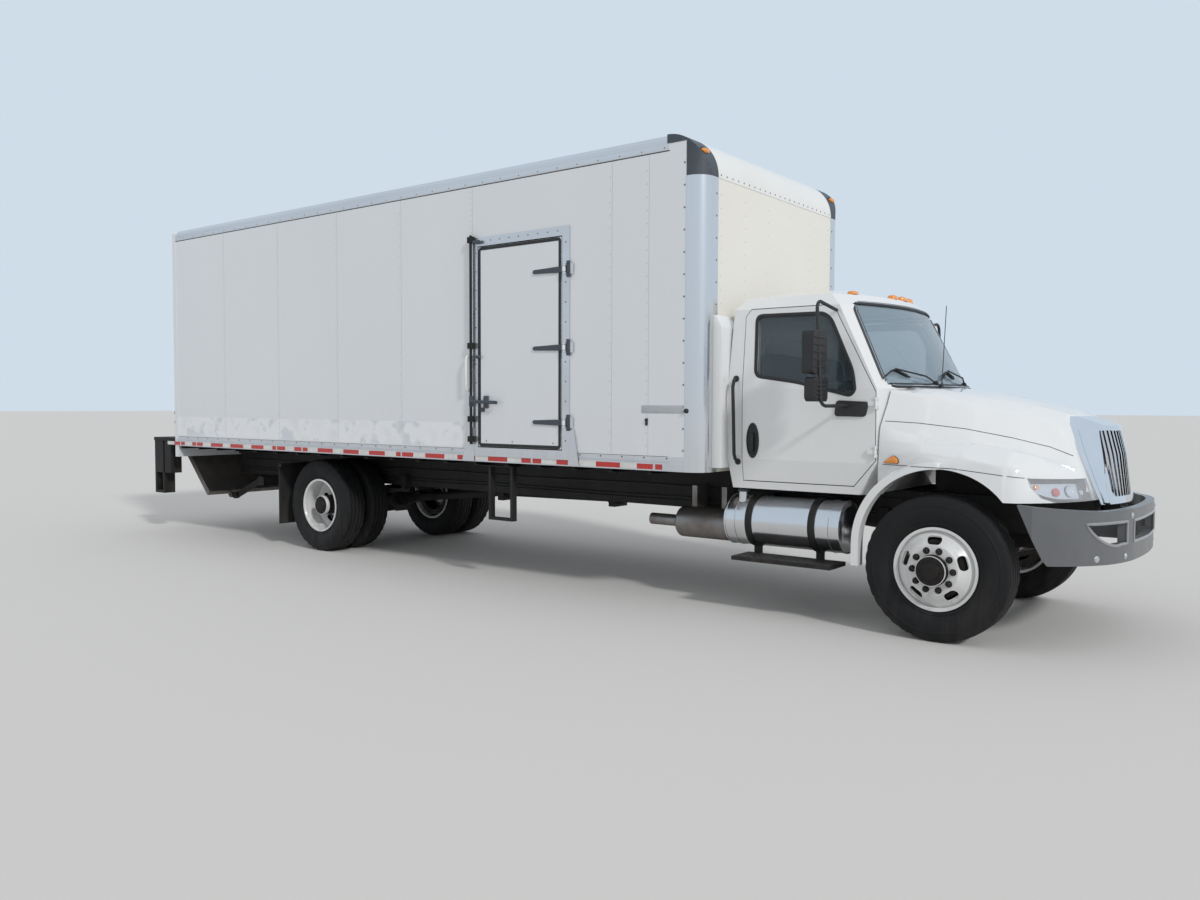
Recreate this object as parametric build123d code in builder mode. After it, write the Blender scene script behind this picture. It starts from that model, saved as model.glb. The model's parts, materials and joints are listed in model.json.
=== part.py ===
# Conventional box truck with a long van body, a side door and a tail lift.
# Millimetres, +X forward, +Y to the truck's left, +Z up. The origin is on the
# ground below the middle of the overall length.
from build123d import *
import math
import os

os.makedirs("parts", exist_ok=True)

# Overall layout, measured along the truck from the front axle
nose_reach = 1150.0
tail_reach = 10330.0
wheelbase = 6985.0
front_axle_x = (tail_reach - nose_reach) / 2
rear_axle_x = front_axle_x - wheelbase
nose_x = front_axle_x + nose_reach
tail_x = front_axle_x - tail_reach

# Tyres and wheels
tyre_radius = 520.0
tyre_width = 279.0
tread_width = 226.0
bulge_radius = 410.0
bead_seat_radius = 286.0
flange_radius = 298.5
rim_width = 236.0
rim_wall = 12.0
flange_thickness = 12.0
flange_lip = 4.0
disc_offset = 168.0
disc_thickness = 11.0
disc_flat_radius = 178.0
front_tyre_y = 1015.0
dual_middle_y = 850.0
hand_holes = 5
hand_hole_radius = 210.0
hand_hole_length = 106.0
hand_hole_width = 60.0
wheel_nuts = 10
wheel_nut_circle = 142.9
wheel_nut_radius = 17.0
wheel_nut_height = 26.0
hub_radius = 107.0
hub_reach = 50.0
seat_gap = 0.3
running_gap = 0.05

# Ladder frame
rail_face_y = 432.0
rail_top_z = 1000.0
rail_height = 262.0
rail_flange = 80.0
rail_thickness = 10.0
rail_front_x = front_axle_x + 880.0
rail_back_x = front_axle_x - 9640.0
rail_bottom_z = rail_top_z - rail_height

# Front axle and steering
kingpin_y = 840.0
kingpin_radius = 22.0
spindle_radius = 36.0
beam_width = 90.0
beam_top_z = 470.0
beam_height = 90.0
spring_pad_y = 390.0
spring_width = 75.0
steering_arm = 200.0
tie_rod_radius = 18.0
tie_rod_drop = 95.0
ball_radius = 14.0

# Van body
body_front_x = front_axle_x - 1821.0
body_back_x = front_axle_x - 9762.0
body_half = 1295.0
body_wall = 42.0
wall_relief = 4.0
floor_top_z = 1225.0
deck_thickness = 32.0
sill_height = 100.0
side_rail_low_z = 1125.0
side_rail_top_z = 1245.0
side_top_z = 3788.0
roof_top_z = 3860.0
roof_sheet = 30.0
roof_edge_radius = 40.0
corner_radius = 148.0
post_side = 165.0
post_front = 223.0
nose_radius = 350.0
nose_margin = 3.0
rear_frame_depth = 75.0
rear_post_width = 100.0
rear_header_height = 230.0
rear_sill_low_z = 985.0

# Side door of the van body
side_opening_back_x = front_axle_x - 4312.0
side_opening_front_x = front_axle_x - 3272.0
side_opening_low_z = 1262.0
side_opening_top_z = 3160.0
side_frame_width = 82.0
side_frame_proud = 6.0
side_lining = 4.0
leaf_gap = 10.0
leaf_thickness = 42.0
side_hinge_x = front_axle_x - 3236.0
side_hinge_out = 20.0
side_hinge_heights = (1511.0, 2176.0, 2862.0)

# Cab: one row a level, in columns height, rear, half width at the door,
# screen pillar, screen centre, all but the first measured from the axle or middle
cab_levels = (
    (1000.0, -1711.0, 985.0, -600.0, -560.0),
    (1240.0, -1743.0, 1025.0, -462.0, -420.0),
    (1800.0, -1743.0, 1032.0, -462.0, -215.0),
    (2440.0, -1715.0, 972.0, -790.0, -570.0),
    (2535.0, -1650.0, 890.0, -890.0, -665.0),
    (2592.0, -1430.0, 600.0, -1010.0, -930.0),
)
cab_wall = 58.0
pillar_step = 24.0
pillar_width = 78.0
glass_inset = 14.0
glass_thickness = 6.0
door_gap = 7.0
door_hinge_x = front_axle_x - 486.0
door_hinge_y = 1043.0
door_hinge_heights = (1330.0, 1690.0)
door_hinge_radius = 10.0
door_hinge_pin = 5.0
door_hinge_length = 90.0

# Hood with its wings: one row a station, in columns station from the axle, middle
# height, then width and height of the ridge, the edge, the valley, the wing's crown
# and its outer corner, and the width at the lower edge
hood_stations = (
    (-470.0, 1838.0, 760.0, 1828.0, 955.0, 1797.0, 1018.0, 1520.0, 1022.0, 1420.0, 1024.0, 1330.0, 1024.0),
    (-150.0, 1812.0, 640.0, 1795.0, 845.0, 1740.0, 940.0, 1440.0, 1040.0, 1398.0, 1092.0, 1338.0, 1108.0),
    (150.0, 1768.0, 520.0, 1746.0, 715.0, 1675.0, 850.0, 1410.0, 1010.0, 1384.0, 1128.0, 1310.0, 1150.0),
    (450.0, 1702.0, 420.0, 1682.0, 585.0, 1605.0, 745.0, 1355.0, 960.0, 1366.0, 1112.0, 1262.0, 1146.0),
    (720.0, 1632.0, 330.0, 1606.0, 462.0, 1530.0, 620.0, 1262.0, 860.0, 1288.0, 1040.0, 1195.0, 1092.0),
    (900.0, 1556.0, 280.0, 1536.0, 400.0, 1464.0, 560.0, 1205.0, 760.0, 1222.0, 960.0, 1150.0, 1040.0),
    (1060.0, 1490.0, 240.0, 1474.0, 350.0, 1400.0, 520.0, 1150.0, 680.0, 1170.0, 900.0, 1110.0, 1000.0),
)
hood_low_z = 1020.0
hood_wall = 14.0
arch_centre_x = front_axle_x + 11.0
arch_centre_z = 652.0
arch_radius = 574.0
arch_band = 56.0
arch_band_inner_y = 1062.0
arch_band_outer_y = 1150.0
arch_band_low_z = 490.0
# Hood's plan: one row a level, in columns height, then the wing's corner, its cheek
# and the place where it meets the grille
hood_plan = (
    (900.0, 520.0, 1160.0, 775.0, 915.0, 958.0),
    (1330.0, 430.0, 1160.0, 655.0, 860.0, 785.0),
    (1600.0, 400.0, 1160.0, 590.0, 820.0, 700.0),
    (1900.0, 370.0, 1160.0, 525.0, 790.0, 610.0),
)
hood_nose_half = 440.0
hood_pivot_x = front_axle_x + 894.0
hood_pivot_z = 1000.0
hood_arm_y = 318.0
hood_arm_width = 16.0
hood_boss_radius = 22.0
hood_pin_radius = 10.0
hinge_bracket_width = 24.0

# Bumper
bumper_low_z = 612.0
bumper_top_z = 1012.0
bumper_nose_z = 972.0
bumper_half = 1150.0
bumper_wall = 58.0
bumper_back_x = front_axle_x + 545.0
bumper_slot_top_z = 888.0
bumper_slot_low_z = 742.0
bumper_smile = 925.0
bumper_post_y = 485.0
bumper_post_width = 130.0
# Bumper's plan: from the axle, across, then how far each place moves in, along and
# across the truck, as a share of an inset
bumper_rows = (
    (640.0, bumper_half, 0.0, 1.0),
    (870.0, 990.0, 0.6, 0.8),
    (1040.0, 760.0, 0.85, 0.5),
    (1095.0, 600.0, 0.95, 0.3),
    (1128.0, 430.0, 1.0, 0.1),
    (nose_reach, 0.0, 1.0, 0.0),
)
plate_hole_z = 930.0
plate_hole_spacing = 178.0
plate_hole_radius = 4.0

# Grille: one row a level, in columns height, then the flank's back, its front corner
# and the middle of the face, measured from the axle
grille_rows = (
    (985.0, 928.0, 985.0, 1042.0),
    (1330.0, 785.0, 905.0, 1002.0),
    (1600.0, 700.0, 835.0, 925.0),
)
grille_flank = 460.0
grille_half = 362.0
grille_wall = 30.0
grille_lip = 8.0
grille_opening_low_z = 1035.0
grille_opening_top_z = 1497.0
grille_opening_half = 345.0
grille_bars = 13
grille_bar_width = 17.0

# Tail lift and dock steps
lift_pivot_x = front_axle_x - 8850.0
lift_pivot_z = 700.0
heel_pivot_x = front_axle_x - 9440.0
heel_pivot_z = 455.0
lift_arm_y = 620.0
lift_arm_width = 26.0
lift_pin_radius = 18.0
platform_half = 980.0
platform_length = 760.0
platform_lean = 47.0
platform_plate = 34.0
step_y = 1190.0
step_width = 150.0


def side_plane(y):
    """A drawing plane seen from the truck's right: x forward, z up."""
    return Plane(origin=(0, y, 0), x_dir=(1, 0, 0), z_dir=(0, -1, 0))


def cross_plane(x):
    """A drawing plane across the truck, seen from the front: y left, z up."""
    return Plane(origin=(x, 0, 0), x_dir=(0, 1, 0), z_dir=(1, 0, 0))


def block(x_ends, y_ends, z_ends, mode=Mode.ADD):
    """A block between two ends on each axis."""
    middle = [(ends[0] + ends[1]) / 2 for ends in (x_ends, y_ends, z_ends)]
    with Locations(tuple(middle)):
        Box(
            abs(x_ends[1] - x_ends[0]),
            abs(y_ends[1] - y_ends[0]),
            abs(z_ends[1] - z_ends[0]),
            mode=mode,
        )


def cross_rod(x, z, radius, y_ends, mode=Mode.ADD):
    """A round bar or bore that lies across the truck."""
    with BuildSketch(side_plane(max(y_ends))) as rod:
        with Locations((x, z)):
            Circle(radius)
    extrude(rod.sketch, amount=max(y_ends) - min(y_ends), mode=mode)


def save(piece, label):
    """Name a finished piece and write it to its file."""
    piece.part.label = label
    export_step(piece.part, "parts/" + label + ".step")


# Tyres
def tyre_ring(axle_x, middle_y):
    """One tyre about its axle, as a closed ring round the rim."""
    half = tyre_width / 2
    tread = tread_width / 2
    bead = rim_width / 2 - flange_thickness - seat_gap
    inner = bead_seat_radius + seat_gap
    with BuildSketch(cross_plane(axle_x)) as ring:
        with BuildLine():
            Polyline(
                (middle_y - bead, tyre_radius + inner),
                (middle_y - half, tyre_radius + bulge_radius),
                (middle_y - tread, tyre_radius + tyre_radius),
                (middle_y + tread, tyre_radius + tyre_radius),
                (middle_y + half, tyre_radius + bulge_radius),
                (middle_y + bead, tyre_radius + inner),
                close=True,
            )
        make_face()
    revolve(ring.sketch, axis=Axis((axle_x, 0, tyre_radius), (0, 1, 0)))


# Wheel discs: outward is +1 or -1 along Y, the side that the disc bulges to
def wheel_rim(axle_x, middle_y, outward):
    """A rim barrel with its disc, hand holes cut through the disc."""
    half = rim_width / 2
    barrel = bead_seat_radius - rim_wall
    flat = disc_offset
    hub_bore = hub_radius - 4.0
    with BuildSketch(cross_plane(axle_x)) as section:
        with BuildLine():
            Polyline(
                (middle_y - half, tyre_radius + flange_radius),
                (middle_y - half + flange_lip, tyre_radius + flange_radius),
                (middle_y - half + flange_thickness, tyre_radius + bead_seat_radius),
                (middle_y + half - flange_thickness, tyre_radius + bead_seat_radius),
                (middle_y + half - flange_lip, tyre_radius + flange_radius),
                (middle_y + half, tyre_radius + flange_radius),
                (middle_y + half, tyre_radius + bead_seat_radius - rim_wall / 2),
                (middle_y + half - rim_wall, tyre_radius + barrel),
                (middle_y - half + rim_wall, tyre_radius + barrel),
                (middle_y - half, tyre_radius + bead_seat_radius - rim_wall / 2),
                close=True,
            )
        make_face()
        with BuildLine():
            Polyline(
                (middle_y + outward * 84.0, tyre_radius + barrel + 2.0),
                (middle_y + outward * (flat - 22.0), tyre_radius + disc_flat_radius + 30.0),
                (middle_y + outward * flat, tyre_radius + disc_flat_radius),
                (middle_y + outward * flat, tyre_radius + hub_bore),
                (middle_y + outward * (flat - disc_thickness), tyre_radius + hub_bore),
                (middle_y + outward * (flat - disc_thickness), tyre_radius + disc_flat_radius - 6.0),
                (middle_y + outward * (flat - 36.0), tyre_radius + disc_flat_radius + 22.0),
                (middle_y + outward * 70.0, tyre_radius + barrel + 2.0),
                close=True,
            )
        make_face()
    revolve(section.sketch, axis=Axis((axle_x, 0, tyre_radius), (0, 1, 0)))
    with BuildSketch(side_plane(middle_y + outward * flat).offset(-60.0)) as holes:
        with Locations((axle_x, tyre_radius)):
            with PolarLocations(hand_hole_radius, hand_holes, start_angle=90.0):
                SlotOverall(hand_hole_length, hand_hole_width, rotation=90)
    extrude(holes.sketch, amount=120.0, mode=Mode.SUBTRACT)


def wheel_hub(axle_x, inner_y, outer_y, nut_y):
    """The hub drum on its axis, with the wheel nuts on the disc's face."""
    cross_rod(axle_x, tyre_radius, hub_radius, (inner_y, outer_y))
    side = 1.0 if outer_y > inner_y else -1.0
    with BuildSketch(side_plane(nut_y)) as nuts:
        with Locations((axle_x, tyre_radius)):
            with PolarLocations(wheel_nut_circle, wheel_nuts):
                RegularPolygon(wheel_nut_radius, 6)
    extrude(nuts.sketch, amount=-side * wheel_nut_height)


for side, name in ((1, "left"), (-1, "right")):
    with BuildPart() as front_tyre:
        tyre_ring(front_axle_x, side * front_tyre_y)
    save(front_tyre, "tyre_front_" + name)

    with BuildPart() as front_rim:
        wheel_rim(front_axle_x, side * front_tyre_y, side)
        hub_inner_y = side * (front_tyre_y - 60.0)
        hub_outer_y = side * (front_tyre_y + disc_offset + hub_reach)
        wheel_hub(front_axle_x, hub_inner_y, hub_outer_y, side * (front_tyre_y + disc_offset))
        bore_end_y = side * (front_tyre_y + 120.0)
        cross_rod(
            front_axle_x,
            tyre_radius,
            spindle_radius + running_gap,
            (hub_inner_y, bore_end_y),
            mode=Mode.SUBTRACT,
        )
    save(front_rim, "wheel_front_" + name)

    with BuildPart() as rear_tyres:
        for half_gap in (disc_offset, -disc_offset):
            tyre_ring(rear_axle_x, side * (dual_middle_y + half_gap))
    save(rear_tyres, "tyres_rear_" + name)

    with BuildPart() as rear_rims:
        for half_gap in (disc_offset, -disc_offset):
            out = -side if half_gap > 0 else side
            wheel_rim(rear_axle_x, side * (dual_middle_y + half_gap), out)
        hub_outer_y = side * (dual_middle_y + disc_offset + rim_width / 2 - 20.0)
        hub_inner_y = side * (dual_middle_y - 140.0)
        wheel_hub(rear_axle_x, hub_inner_y, hub_outer_y, side * (dual_middle_y + disc_thickness))
        cross_rod(
            rear_axle_x,
            tyre_radius,
            spindle_radius + running_gap,
            (hub_inner_y, side * (dual_middle_y + 60.0)),
            mode=Mode.SUBTRACT,
        )
    save(rear_rims, "wheels_rear_" + name)


# Springs: an arched pack of leaves, wrapped eyes at both ends, hung from the rail
# Rows: axle, half length, seat height, end height, thickness, middle of the width
spring_rows = (
    (front_axle_x, 640.0, 508.0, 665.0, 52.0, 430.0),
    (rear_axle_x, 700.0, 610.0, 690.0, 84.0, 472.0),
)
eye_radius = 32.0
with BuildPart() as leaf_springs:
    for axle_x, half, seat_z, end_z, thick, middle_y in spring_rows:
        for side in (1, -1):
            with BuildSketch(side_plane(side * middle_y + spring_width / 2)):
                with BuildLine():
                    ThreePointArc((axle_x - half, end_z), (axle_x, seat_z), (axle_x + half, end_z))
                    Line((axle_x + half, end_z), (axle_x + half, end_z + 16.0))
                    Line((axle_x + half, end_z + 16.0), (axle_x + 0.45 * half, seat_z + thick))
                    Line((axle_x + 0.45 * half, seat_z + thick), (axle_x - 0.45 * half, seat_z + thick))
                    Line((axle_x - 0.45 * half, seat_z + thick), (axle_x - half, end_z + 16.0))
                    Line((axle_x - half, end_z + 16.0), (axle_x - half, end_z))
                make_face()
                with Locations((axle_x - half, end_z + 8.0), (axle_x + half, end_z + 8.0)):
                    Circle(eye_radius)
            extrude(amount=spring_width)
save(leaf_springs, "leaf_springs")

# Ladder frame: two channels, open inward, joined by cross members at their places
# behind the front axle, with the spring hangers below them and the hood's brackets
cross_member_places = (-735.0, 1500.0, 2400.0, 3610.0, 5145.0, 6350.0, 7620.0, 8450.0, 9560.0)
cross_member_width = 90.0
cross_member_height = 130.0
cross_member_z = rail_bottom_z + 162.0
member_half = rail_face_y - rail_thickness + 1.0
flap_x = rear_axle_x - 700.0
flap_arm = 40.0
flap_top_z = 970.0
flap_inner_y = 590.0
flap_outer_y = 1180.0
with BuildPart() as frame_rails:
    for side in (1, -1):
        with BuildSketch(cross_plane(rail_back_x)):
            with BuildLine():
                Polyline(
                    (side * rail_face_y, rail_bottom_z),
                    (side * rail_face_y, rail_top_z),
                    (side * (rail_face_y - rail_flange), rail_top_z),
                    (side * (rail_face_y - rail_flange), rail_top_z - rail_thickness),
                    (side * (rail_face_y - rail_thickness), rail_top_z - rail_thickness),
                    (side * (rail_face_y - rail_thickness), rail_bottom_z + rail_thickness),
                    (side * (rail_face_y - rail_flange), rail_bottom_z + rail_thickness),
                    (side * (rail_face_y - rail_flange), rail_bottom_z),
                    close=True,
                )
            make_face()
        extrude(amount=rail_front_x - rail_back_x)
    for axle_x, half, seat_z, end_z, thick, middle_y in spring_rows:
        low_z = end_z + 8.0 + eye_radius + seat_gap
        for side in (1, -1):
            for end in (-1, 1):
                eye_x = axle_x + end * half
                outer_y = side * (middle_y + spring_width / 2)
                block((eye_x - 45.0, eye_x + 45.0), (side * (rail_face_y - 60.0), outer_y), (low_z, rail_bottom_z))
                if outer_y * side > rail_face_y:
                    block(
                        (eye_x - 45.0, eye_x + 45.0),
                        (side * rail_face_y, outer_y),
                        (rail_bottom_z, rail_bottom_z + 120.0),
                    )

    for place in cross_member_places:
        middle_x = front_axle_x - place
        with BuildSketch(side_plane(member_half)):
            with Locations((middle_x, cross_member_z)):
                Rectangle(cross_member_width, cross_member_height)
            with Locations((middle_x + rail_thickness, cross_member_z)):
                Rectangle(cross_member_width, cross_member_height - 2 * rail_thickness, mode=Mode.SUBTRACT)
        extrude(amount=2 * member_half)
    for side in (1, -1):
        block(
            (flap_x, flap_x + flap_arm),
            (side * (rail_face_y - 2.0), side * flap_outer_y),
            (flap_top_z - flap_arm, flap_top_z),
        )
    bracket_back_x = rail_front_x - 95.0
    for side in (1, -1):
        outer_y = side * (rail_face_y - rail_thickness)
        inner_y = outer_y - side * hinge_bracket_width
        with BuildSketch(side_plane(max(inner_y, outer_y))):
            with Locations((hood_pivot_x, hood_pivot_z)):
                Circle(hood_boss_radius)
            with BuildLine():
                Polyline(
                    (bracket_back_x, rail_bottom_z + rail_thickness),
                    (rail_front_x, rail_bottom_z + rail_thickness),
                    (hood_pivot_x + hood_boss_radius, hood_pivot_z),
                    (hood_pivot_x - hood_boss_radius, hood_pivot_z),
                    (rail_front_x - 40.0, rail_top_z - rail_thickness),
                    (bracket_back_x, rail_top_z - rail_thickness),
                    close=True,
                )
            make_face()
            with Locations((hood_pivot_x, hood_pivot_z)):
                Circle(hood_pin_radius + running_gap, mode=Mode.SUBTRACT)
        extrude(amount=hinge_bracket_width)
save(frame_rails, "frame")

# Front axle: a dropped beam with an eye for the kingpin at each end
eye_half = 48.0
knuckle_gap = 6.0
with BuildPart() as front_axle:
    beam_low_z = beam_top_z - beam_height
    eye_low_z = tyre_radius - eye_half
    eye_top_z = tyre_radius + eye_half
    with BuildSketch(cross_plane(front_axle_x - beam_width / 2)):
        with BuildLine():
            Polyline(
                (-kingpin_y, eye_top_z),
                (-kingpin_y, eye_low_z),
                (-kingpin_y + 120.0, eye_low_z),
                (-spring_pad_y - 150.0, beam_low_z),
                (spring_pad_y + 150.0, beam_low_z),
                (kingpin_y - 120.0, eye_low_z),
                (kingpin_y, eye_low_z),
                (kingpin_y, eye_top_z),
                (kingpin_y - 90.0, eye_top_z),
                (spring_pad_y + 130.0, beam_top_z),
                (-spring_pad_y - 130.0, beam_top_z),
                (-kingpin_y + 90.0, eye_top_z),
                close=True,
            )
        make_face()
    extrude(amount=beam_width)
    for side in (1, -1):
        with BuildSketch(Plane.XY.offset(eye_low_z)):
            with Locations((front_axle_x, side * kingpin_y)):
                Circle(beam_width / 2)
        extrude(amount=2 * eye_half)
        with BuildSketch(Plane.XY.offset(eye_low_z)):
            with Locations((front_axle_x, side * kingpin_y)):
                Circle(kingpin_radius + running_gap)
        extrude(amount=2 * eye_half, mode=Mode.SUBTRACT)
        pad_top = spring_rows[0][2]
        block(
            (front_axle_x - 70.0, front_axle_x + 70.0),
            (side * spring_rows[0][5] - 42.0, side * spring_rows[0][5] + 42.0),
            (beam_top_z - 6.0, pad_top - seat_gap),
        )
save(front_axle, "front_axle")

# Steering knuckles: a yoke above and below the axle's eye, the kingpin, the spindle
# that the hub turns on, and an arm straight back to the tie rod
yoke_height = 40.0
yoke_half = 44.0
yoke_face_y = 40.0
for side, name in ((1, "left"), (-1, "right")):
    with BuildPart() as knuckle:
        low_z = tyre_radius - eye_half - knuckle_gap
        top_z = tyre_radius + eye_half + knuckle_gap
        pin_y = side * kingpin_y
        for z_from, z_to in ((low_z - yoke_height, low_z), (top_z, top_z + yoke_height)):
            with BuildSketch(Plane.XY.offset(z_from)):
                with Locations((front_axle_x, pin_y)):
                    Circle(yoke_half)
                with Locations((front_axle_x, pin_y + side * 40.0)):
                    Rectangle(2 * yoke_half, 80.0)
            extrude(amount=z_to - z_from)
        with BuildSketch(Plane.XY.offset(low_z - yoke_height)):
            with Locations((front_axle_x, pin_y)):
                Circle(kingpin_radius)
        extrude(amount=top_z - low_z + 2 * yoke_height)
        face_y = pin_y + side * (beam_width / 2 + 12.0)
        block(
            (front_axle_x - yoke_half, front_axle_x + yoke_half),
            (face_y, pin_y + side * 80.0),
            (low_z - yoke_height, top_z + yoke_height),
        )
        cross_rod(
            front_axle_x,
            tyre_radius,
            spindle_radius,
            (pin_y + side * 78.0, side * (front_tyre_y + 115.0)),
        )
        arm_z = low_z - yoke_height
        block(
            (front_axle_x - steering_arm, front_axle_x),
            (pin_y - 15.0, pin_y + 15.0),
            (arm_z, arm_z + 34.0),
        )
        with BuildSketch(Plane.XY.offset(arm_z - tie_rod_radius * 2)):
            with Locations((front_axle_x - steering_arm, pin_y)):
                Circle(ball_radius)
        extrude(amount=tie_rod_radius * 2 + 20.0)
    save(knuckle, "knuckle_" + name)

# Tie rod between the two steering arms, an eye on each ball stud
with BuildPart() as tie_rod:
    rod_x = front_axle_x - steering_arm
    rod_z = tyre_radius - eye_half - knuckle_gap - yoke_height - tie_rod_radius - 2.0
    cross_rod(rod_x, rod_z, tie_rod_radius - 2.0, (-kingpin_y + 20.0, kingpin_y - 20.0))
    for side in (1, -1):
        with BuildSketch(Plane.XY.offset(rod_z - tie_rod_radius + 2.0)):
            with Locations((rod_x, side * kingpin_y)):
                Circle(ball_radius + 14.0)
                Circle(ball_radius + running_gap, mode=Mode.SUBTRACT)
        extrude(amount=2 * tie_rod_radius - 4.0)
        with BuildSketch(Plane.XY.offset(rod_z - tie_rod_radius + 2.0)):
            with Locations((rod_x, side * kingpin_y)):
                Circle(ball_radius + running_gap)
        extrude(amount=2 * tie_rod_radius - 4.0, mode=Mode.SUBTRACT)
save(tie_rod, "tie_rod")

# Rear axle: a banjo case between two tubes, with the spindles that the hubs turn on
rear_tube_radius = 68.0
banjo_radius = 190.0
with BuildPart() as rear_axle:
    hub_inner = dual_middle_y - 140.0
    cross_rod(rear_axle_x, tyre_radius, rear_tube_radius, (-hub_inner + 8.0, hub_inner - 8.0))
    cross_rod(rear_axle_x, tyre_radius, spindle_radius, (-dual_middle_y - 50.0, dual_middle_y + 50.0))
    with BuildSketch(cross_plane(rear_axle_x - 95.0)):
        with BuildLine():
            Polyline(
                (-banjo_radius - 110.0, tyre_radius),
                (-banjo_radius * 0.6, tyre_radius + banjo_radius * 0.86),
                (banjo_radius * 0.6, tyre_radius + banjo_radius * 0.86),
                (banjo_radius + 110.0, tyre_radius),
                (banjo_radius * 0.6, tyre_radius - banjo_radius * 0.86),
                (-banjo_radius * 0.6, tyre_radius - banjo_radius * 0.86),
                close=True,
            )
        make_face()
    extrude(amount=190.0, taper=12)
    with BuildSketch(cross_plane(rear_axle_x + 60.0)):
        with Locations((0, tyre_radius + 20.0)):
            Circle(105.0)
    extrude(amount=190.0, taper=8)
    for side in (1, -1):
        pad_y = side * spring_rows[1][5]
        block(
            (rear_axle_x - 80.0, rear_axle_x + 80.0),
            (pad_y - 40.0, pad_y + 40.0),
            (tyre_radius + 40.0, spring_rows[1][2] - seat_gap),
        )
save(rear_axle, "rear_axle")

# Engine as one plain block with its radiator, gearbox, drive shaft in three lengths
engine_front_x = front_axle_x + 520.0
engine_back_x = front_axle_x - 300.0
engine_low_z = 610.0
engine_top_z = 1430.0
engine_half = 260.0
radiator_x = front_axle_x + 560.0
with BuildPart() as engine:
    block((engine_back_x, engine_front_x), (-engine_half, engine_half), (engine_low_z, engine_top_z))
    block((engine_front_x, radiator_x), (-90.0, 90.0), (1000.0, 1150.0))
    block((radiator_x, radiator_x + 110.0), (-345.0, 345.0), (760.0, 1440.0))
save(engine, "engine_and_radiator")

gearbox_back_x = front_axle_x - 1250.0
crank_z = 780.0
bell_radius = 205.0
bell_length = 230.0
shaft_radius = 45.0
yoke_radius = 62.0
pinion_x = rear_axle_x + 250.0
pinion_z = tyre_radius + 20.0
# Rows: rear end, rear height, front end, front height
shaft_rows = (
    (front_axle_x - 3560.0, 730.0, gearbox_back_x - 40.0, crank_z - 20.0),
    (front_axle_x - 5100.0, 700.0, front_axle_x - 3660.0, 725.0),
    (pinion_x + 76.0, pinion_z + 4.0, front_axle_x - 5190.0, 695.0),
)
carrier_rows = ((front_axle_x - 3610.0, 728.0), (front_axle_x - 5145.0, 698.0))


def rearward_plane(x, z):
    """A drawing plane across the truck that faces the tail."""
    return Plane(origin=(x, 0, z), x_dir=(0, -1, 0), z_dir=(-1, 0, 0))


with BuildPart() as drive_line:
    with BuildSketch(rearward_plane(engine_back_x - seat_gap, crank_z)):
        Circle(bell_radius)
    extrude(amount=bell_length)
    with BuildSketch(rearward_plane(engine_back_x - bell_length + 5.0, crank_z)):
        Circle(bell_radius - 30.0)
    with BuildSketch(rearward_plane(gearbox_back_x, crank_z)):
        Circle(bell_radius - 100.0)
    loft(ruled=True)
    for back_x, back_z, ahead_x, ahead_z in shaft_rows:
        run = Vector(ahead_x - back_x, 0, ahead_z - back_z)
        with BuildSketch(Plane(origin=(back_x, 0, back_z), x_dir=(0, 1, 0), z_dir=run)):
            Circle(shaft_radius)
        extrude(amount=run.length)
        for joint_x, joint_z in ((back_x, back_z), (ahead_x, ahead_z)):
            with BuildSketch(Plane(origin=(joint_x, 0, joint_z), x_dir=(0, 1, 0), z_dir=run)):
                Circle(yoke_radius)
            extrude(amount=45.0, both=True)
    with BuildSketch(cross_plane(pinion_x + seat_gap)):
        with Locations((0, pinion_z)):
            Circle(yoke_radius + 8.0)
    extrude(amount=40.0)
    carrier_top_z = cross_member_z - cross_member_height / 2 - seat_gap
    for carrier_x, carrier_z in carrier_rows:
        block((carrier_x - 40.0, carrier_x + 40.0), (-105.0, 105.0), (carrier_z - 85.0, carrier_top_z))
save(drive_line, "drive_line")

# Fuel tank on the right: a drum along the frame, two straps and its hanging brackets
tank_radius = 205.0
tank_y = -800.0
tank_z = 725.0
tank_back_x = front_axle_x - 1790.0
tank_front_x = front_axle_x - 775.0
strap_width = 55.0
strap_places = (-1560.0, -1010.0)
with BuildPart() as fuel_tank:
    with BuildSketch(cross_plane(tank_back_x)):
        with Locations((tank_y, tank_z)):
            Circle(tank_radius)
    extrude(amount=tank_front_x - tank_back_x)
    fillet(fuel_tank.edges().filter_by(GeomType.CIRCLE), 22.0)
    with BuildSketch(Plane.XY.offset(tank_z + tank_radius * 0.7)):
        with Locations((tank_back_x + 130.0, tank_y - 95.0)):
            Circle(42.0)
    extrude(amount=95.0)
save(fuel_tank, "fuel_tank")

bracket_inner_y = -rail_face_y - seat_gap
bracket_outer_y = tank_y + tank_radius - 20.0
with BuildPart() as tank_brackets:
    for place in strap_places:
        strap_x = front_axle_x + place
        with BuildSketch(cross_plane(strap_x - strap_width / 2)):
            with Locations((tank_y, tank_z)):
                Circle(tank_radius + 9.0)
            with Locations(((bracket_inner_y + bracket_outer_y) / 2, tank_z - 5.0)):
                Rectangle(bracket_inner_y - bracket_outer_y, 2 * tank_radius + 10.0)
            with Locations((tank_y, tank_z)):
                Circle(tank_radius + seat_gap, mode=Mode.SUBTRACT)
            with Locations((tank_y - 20.0, tank_z - tank_radius - 45.0)):
                Rectangle(44.0, 90.0)
            with Locations((tank_y, tank_z)):
                Circle(tank_radius + seat_gap, mode=Mode.SUBTRACT)
        extrude(amount=strap_width)
    block(
        (front_axle_x - 1640.0, front_axle_x - 790.0),
        (tank_y - 330.0, tank_y - 40.0),
        (tank_z - tank_radius - 92.0, tank_z - tank_radius - 60.0),
    )
save(tank_brackets, "tank_step_and_straps")

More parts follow.
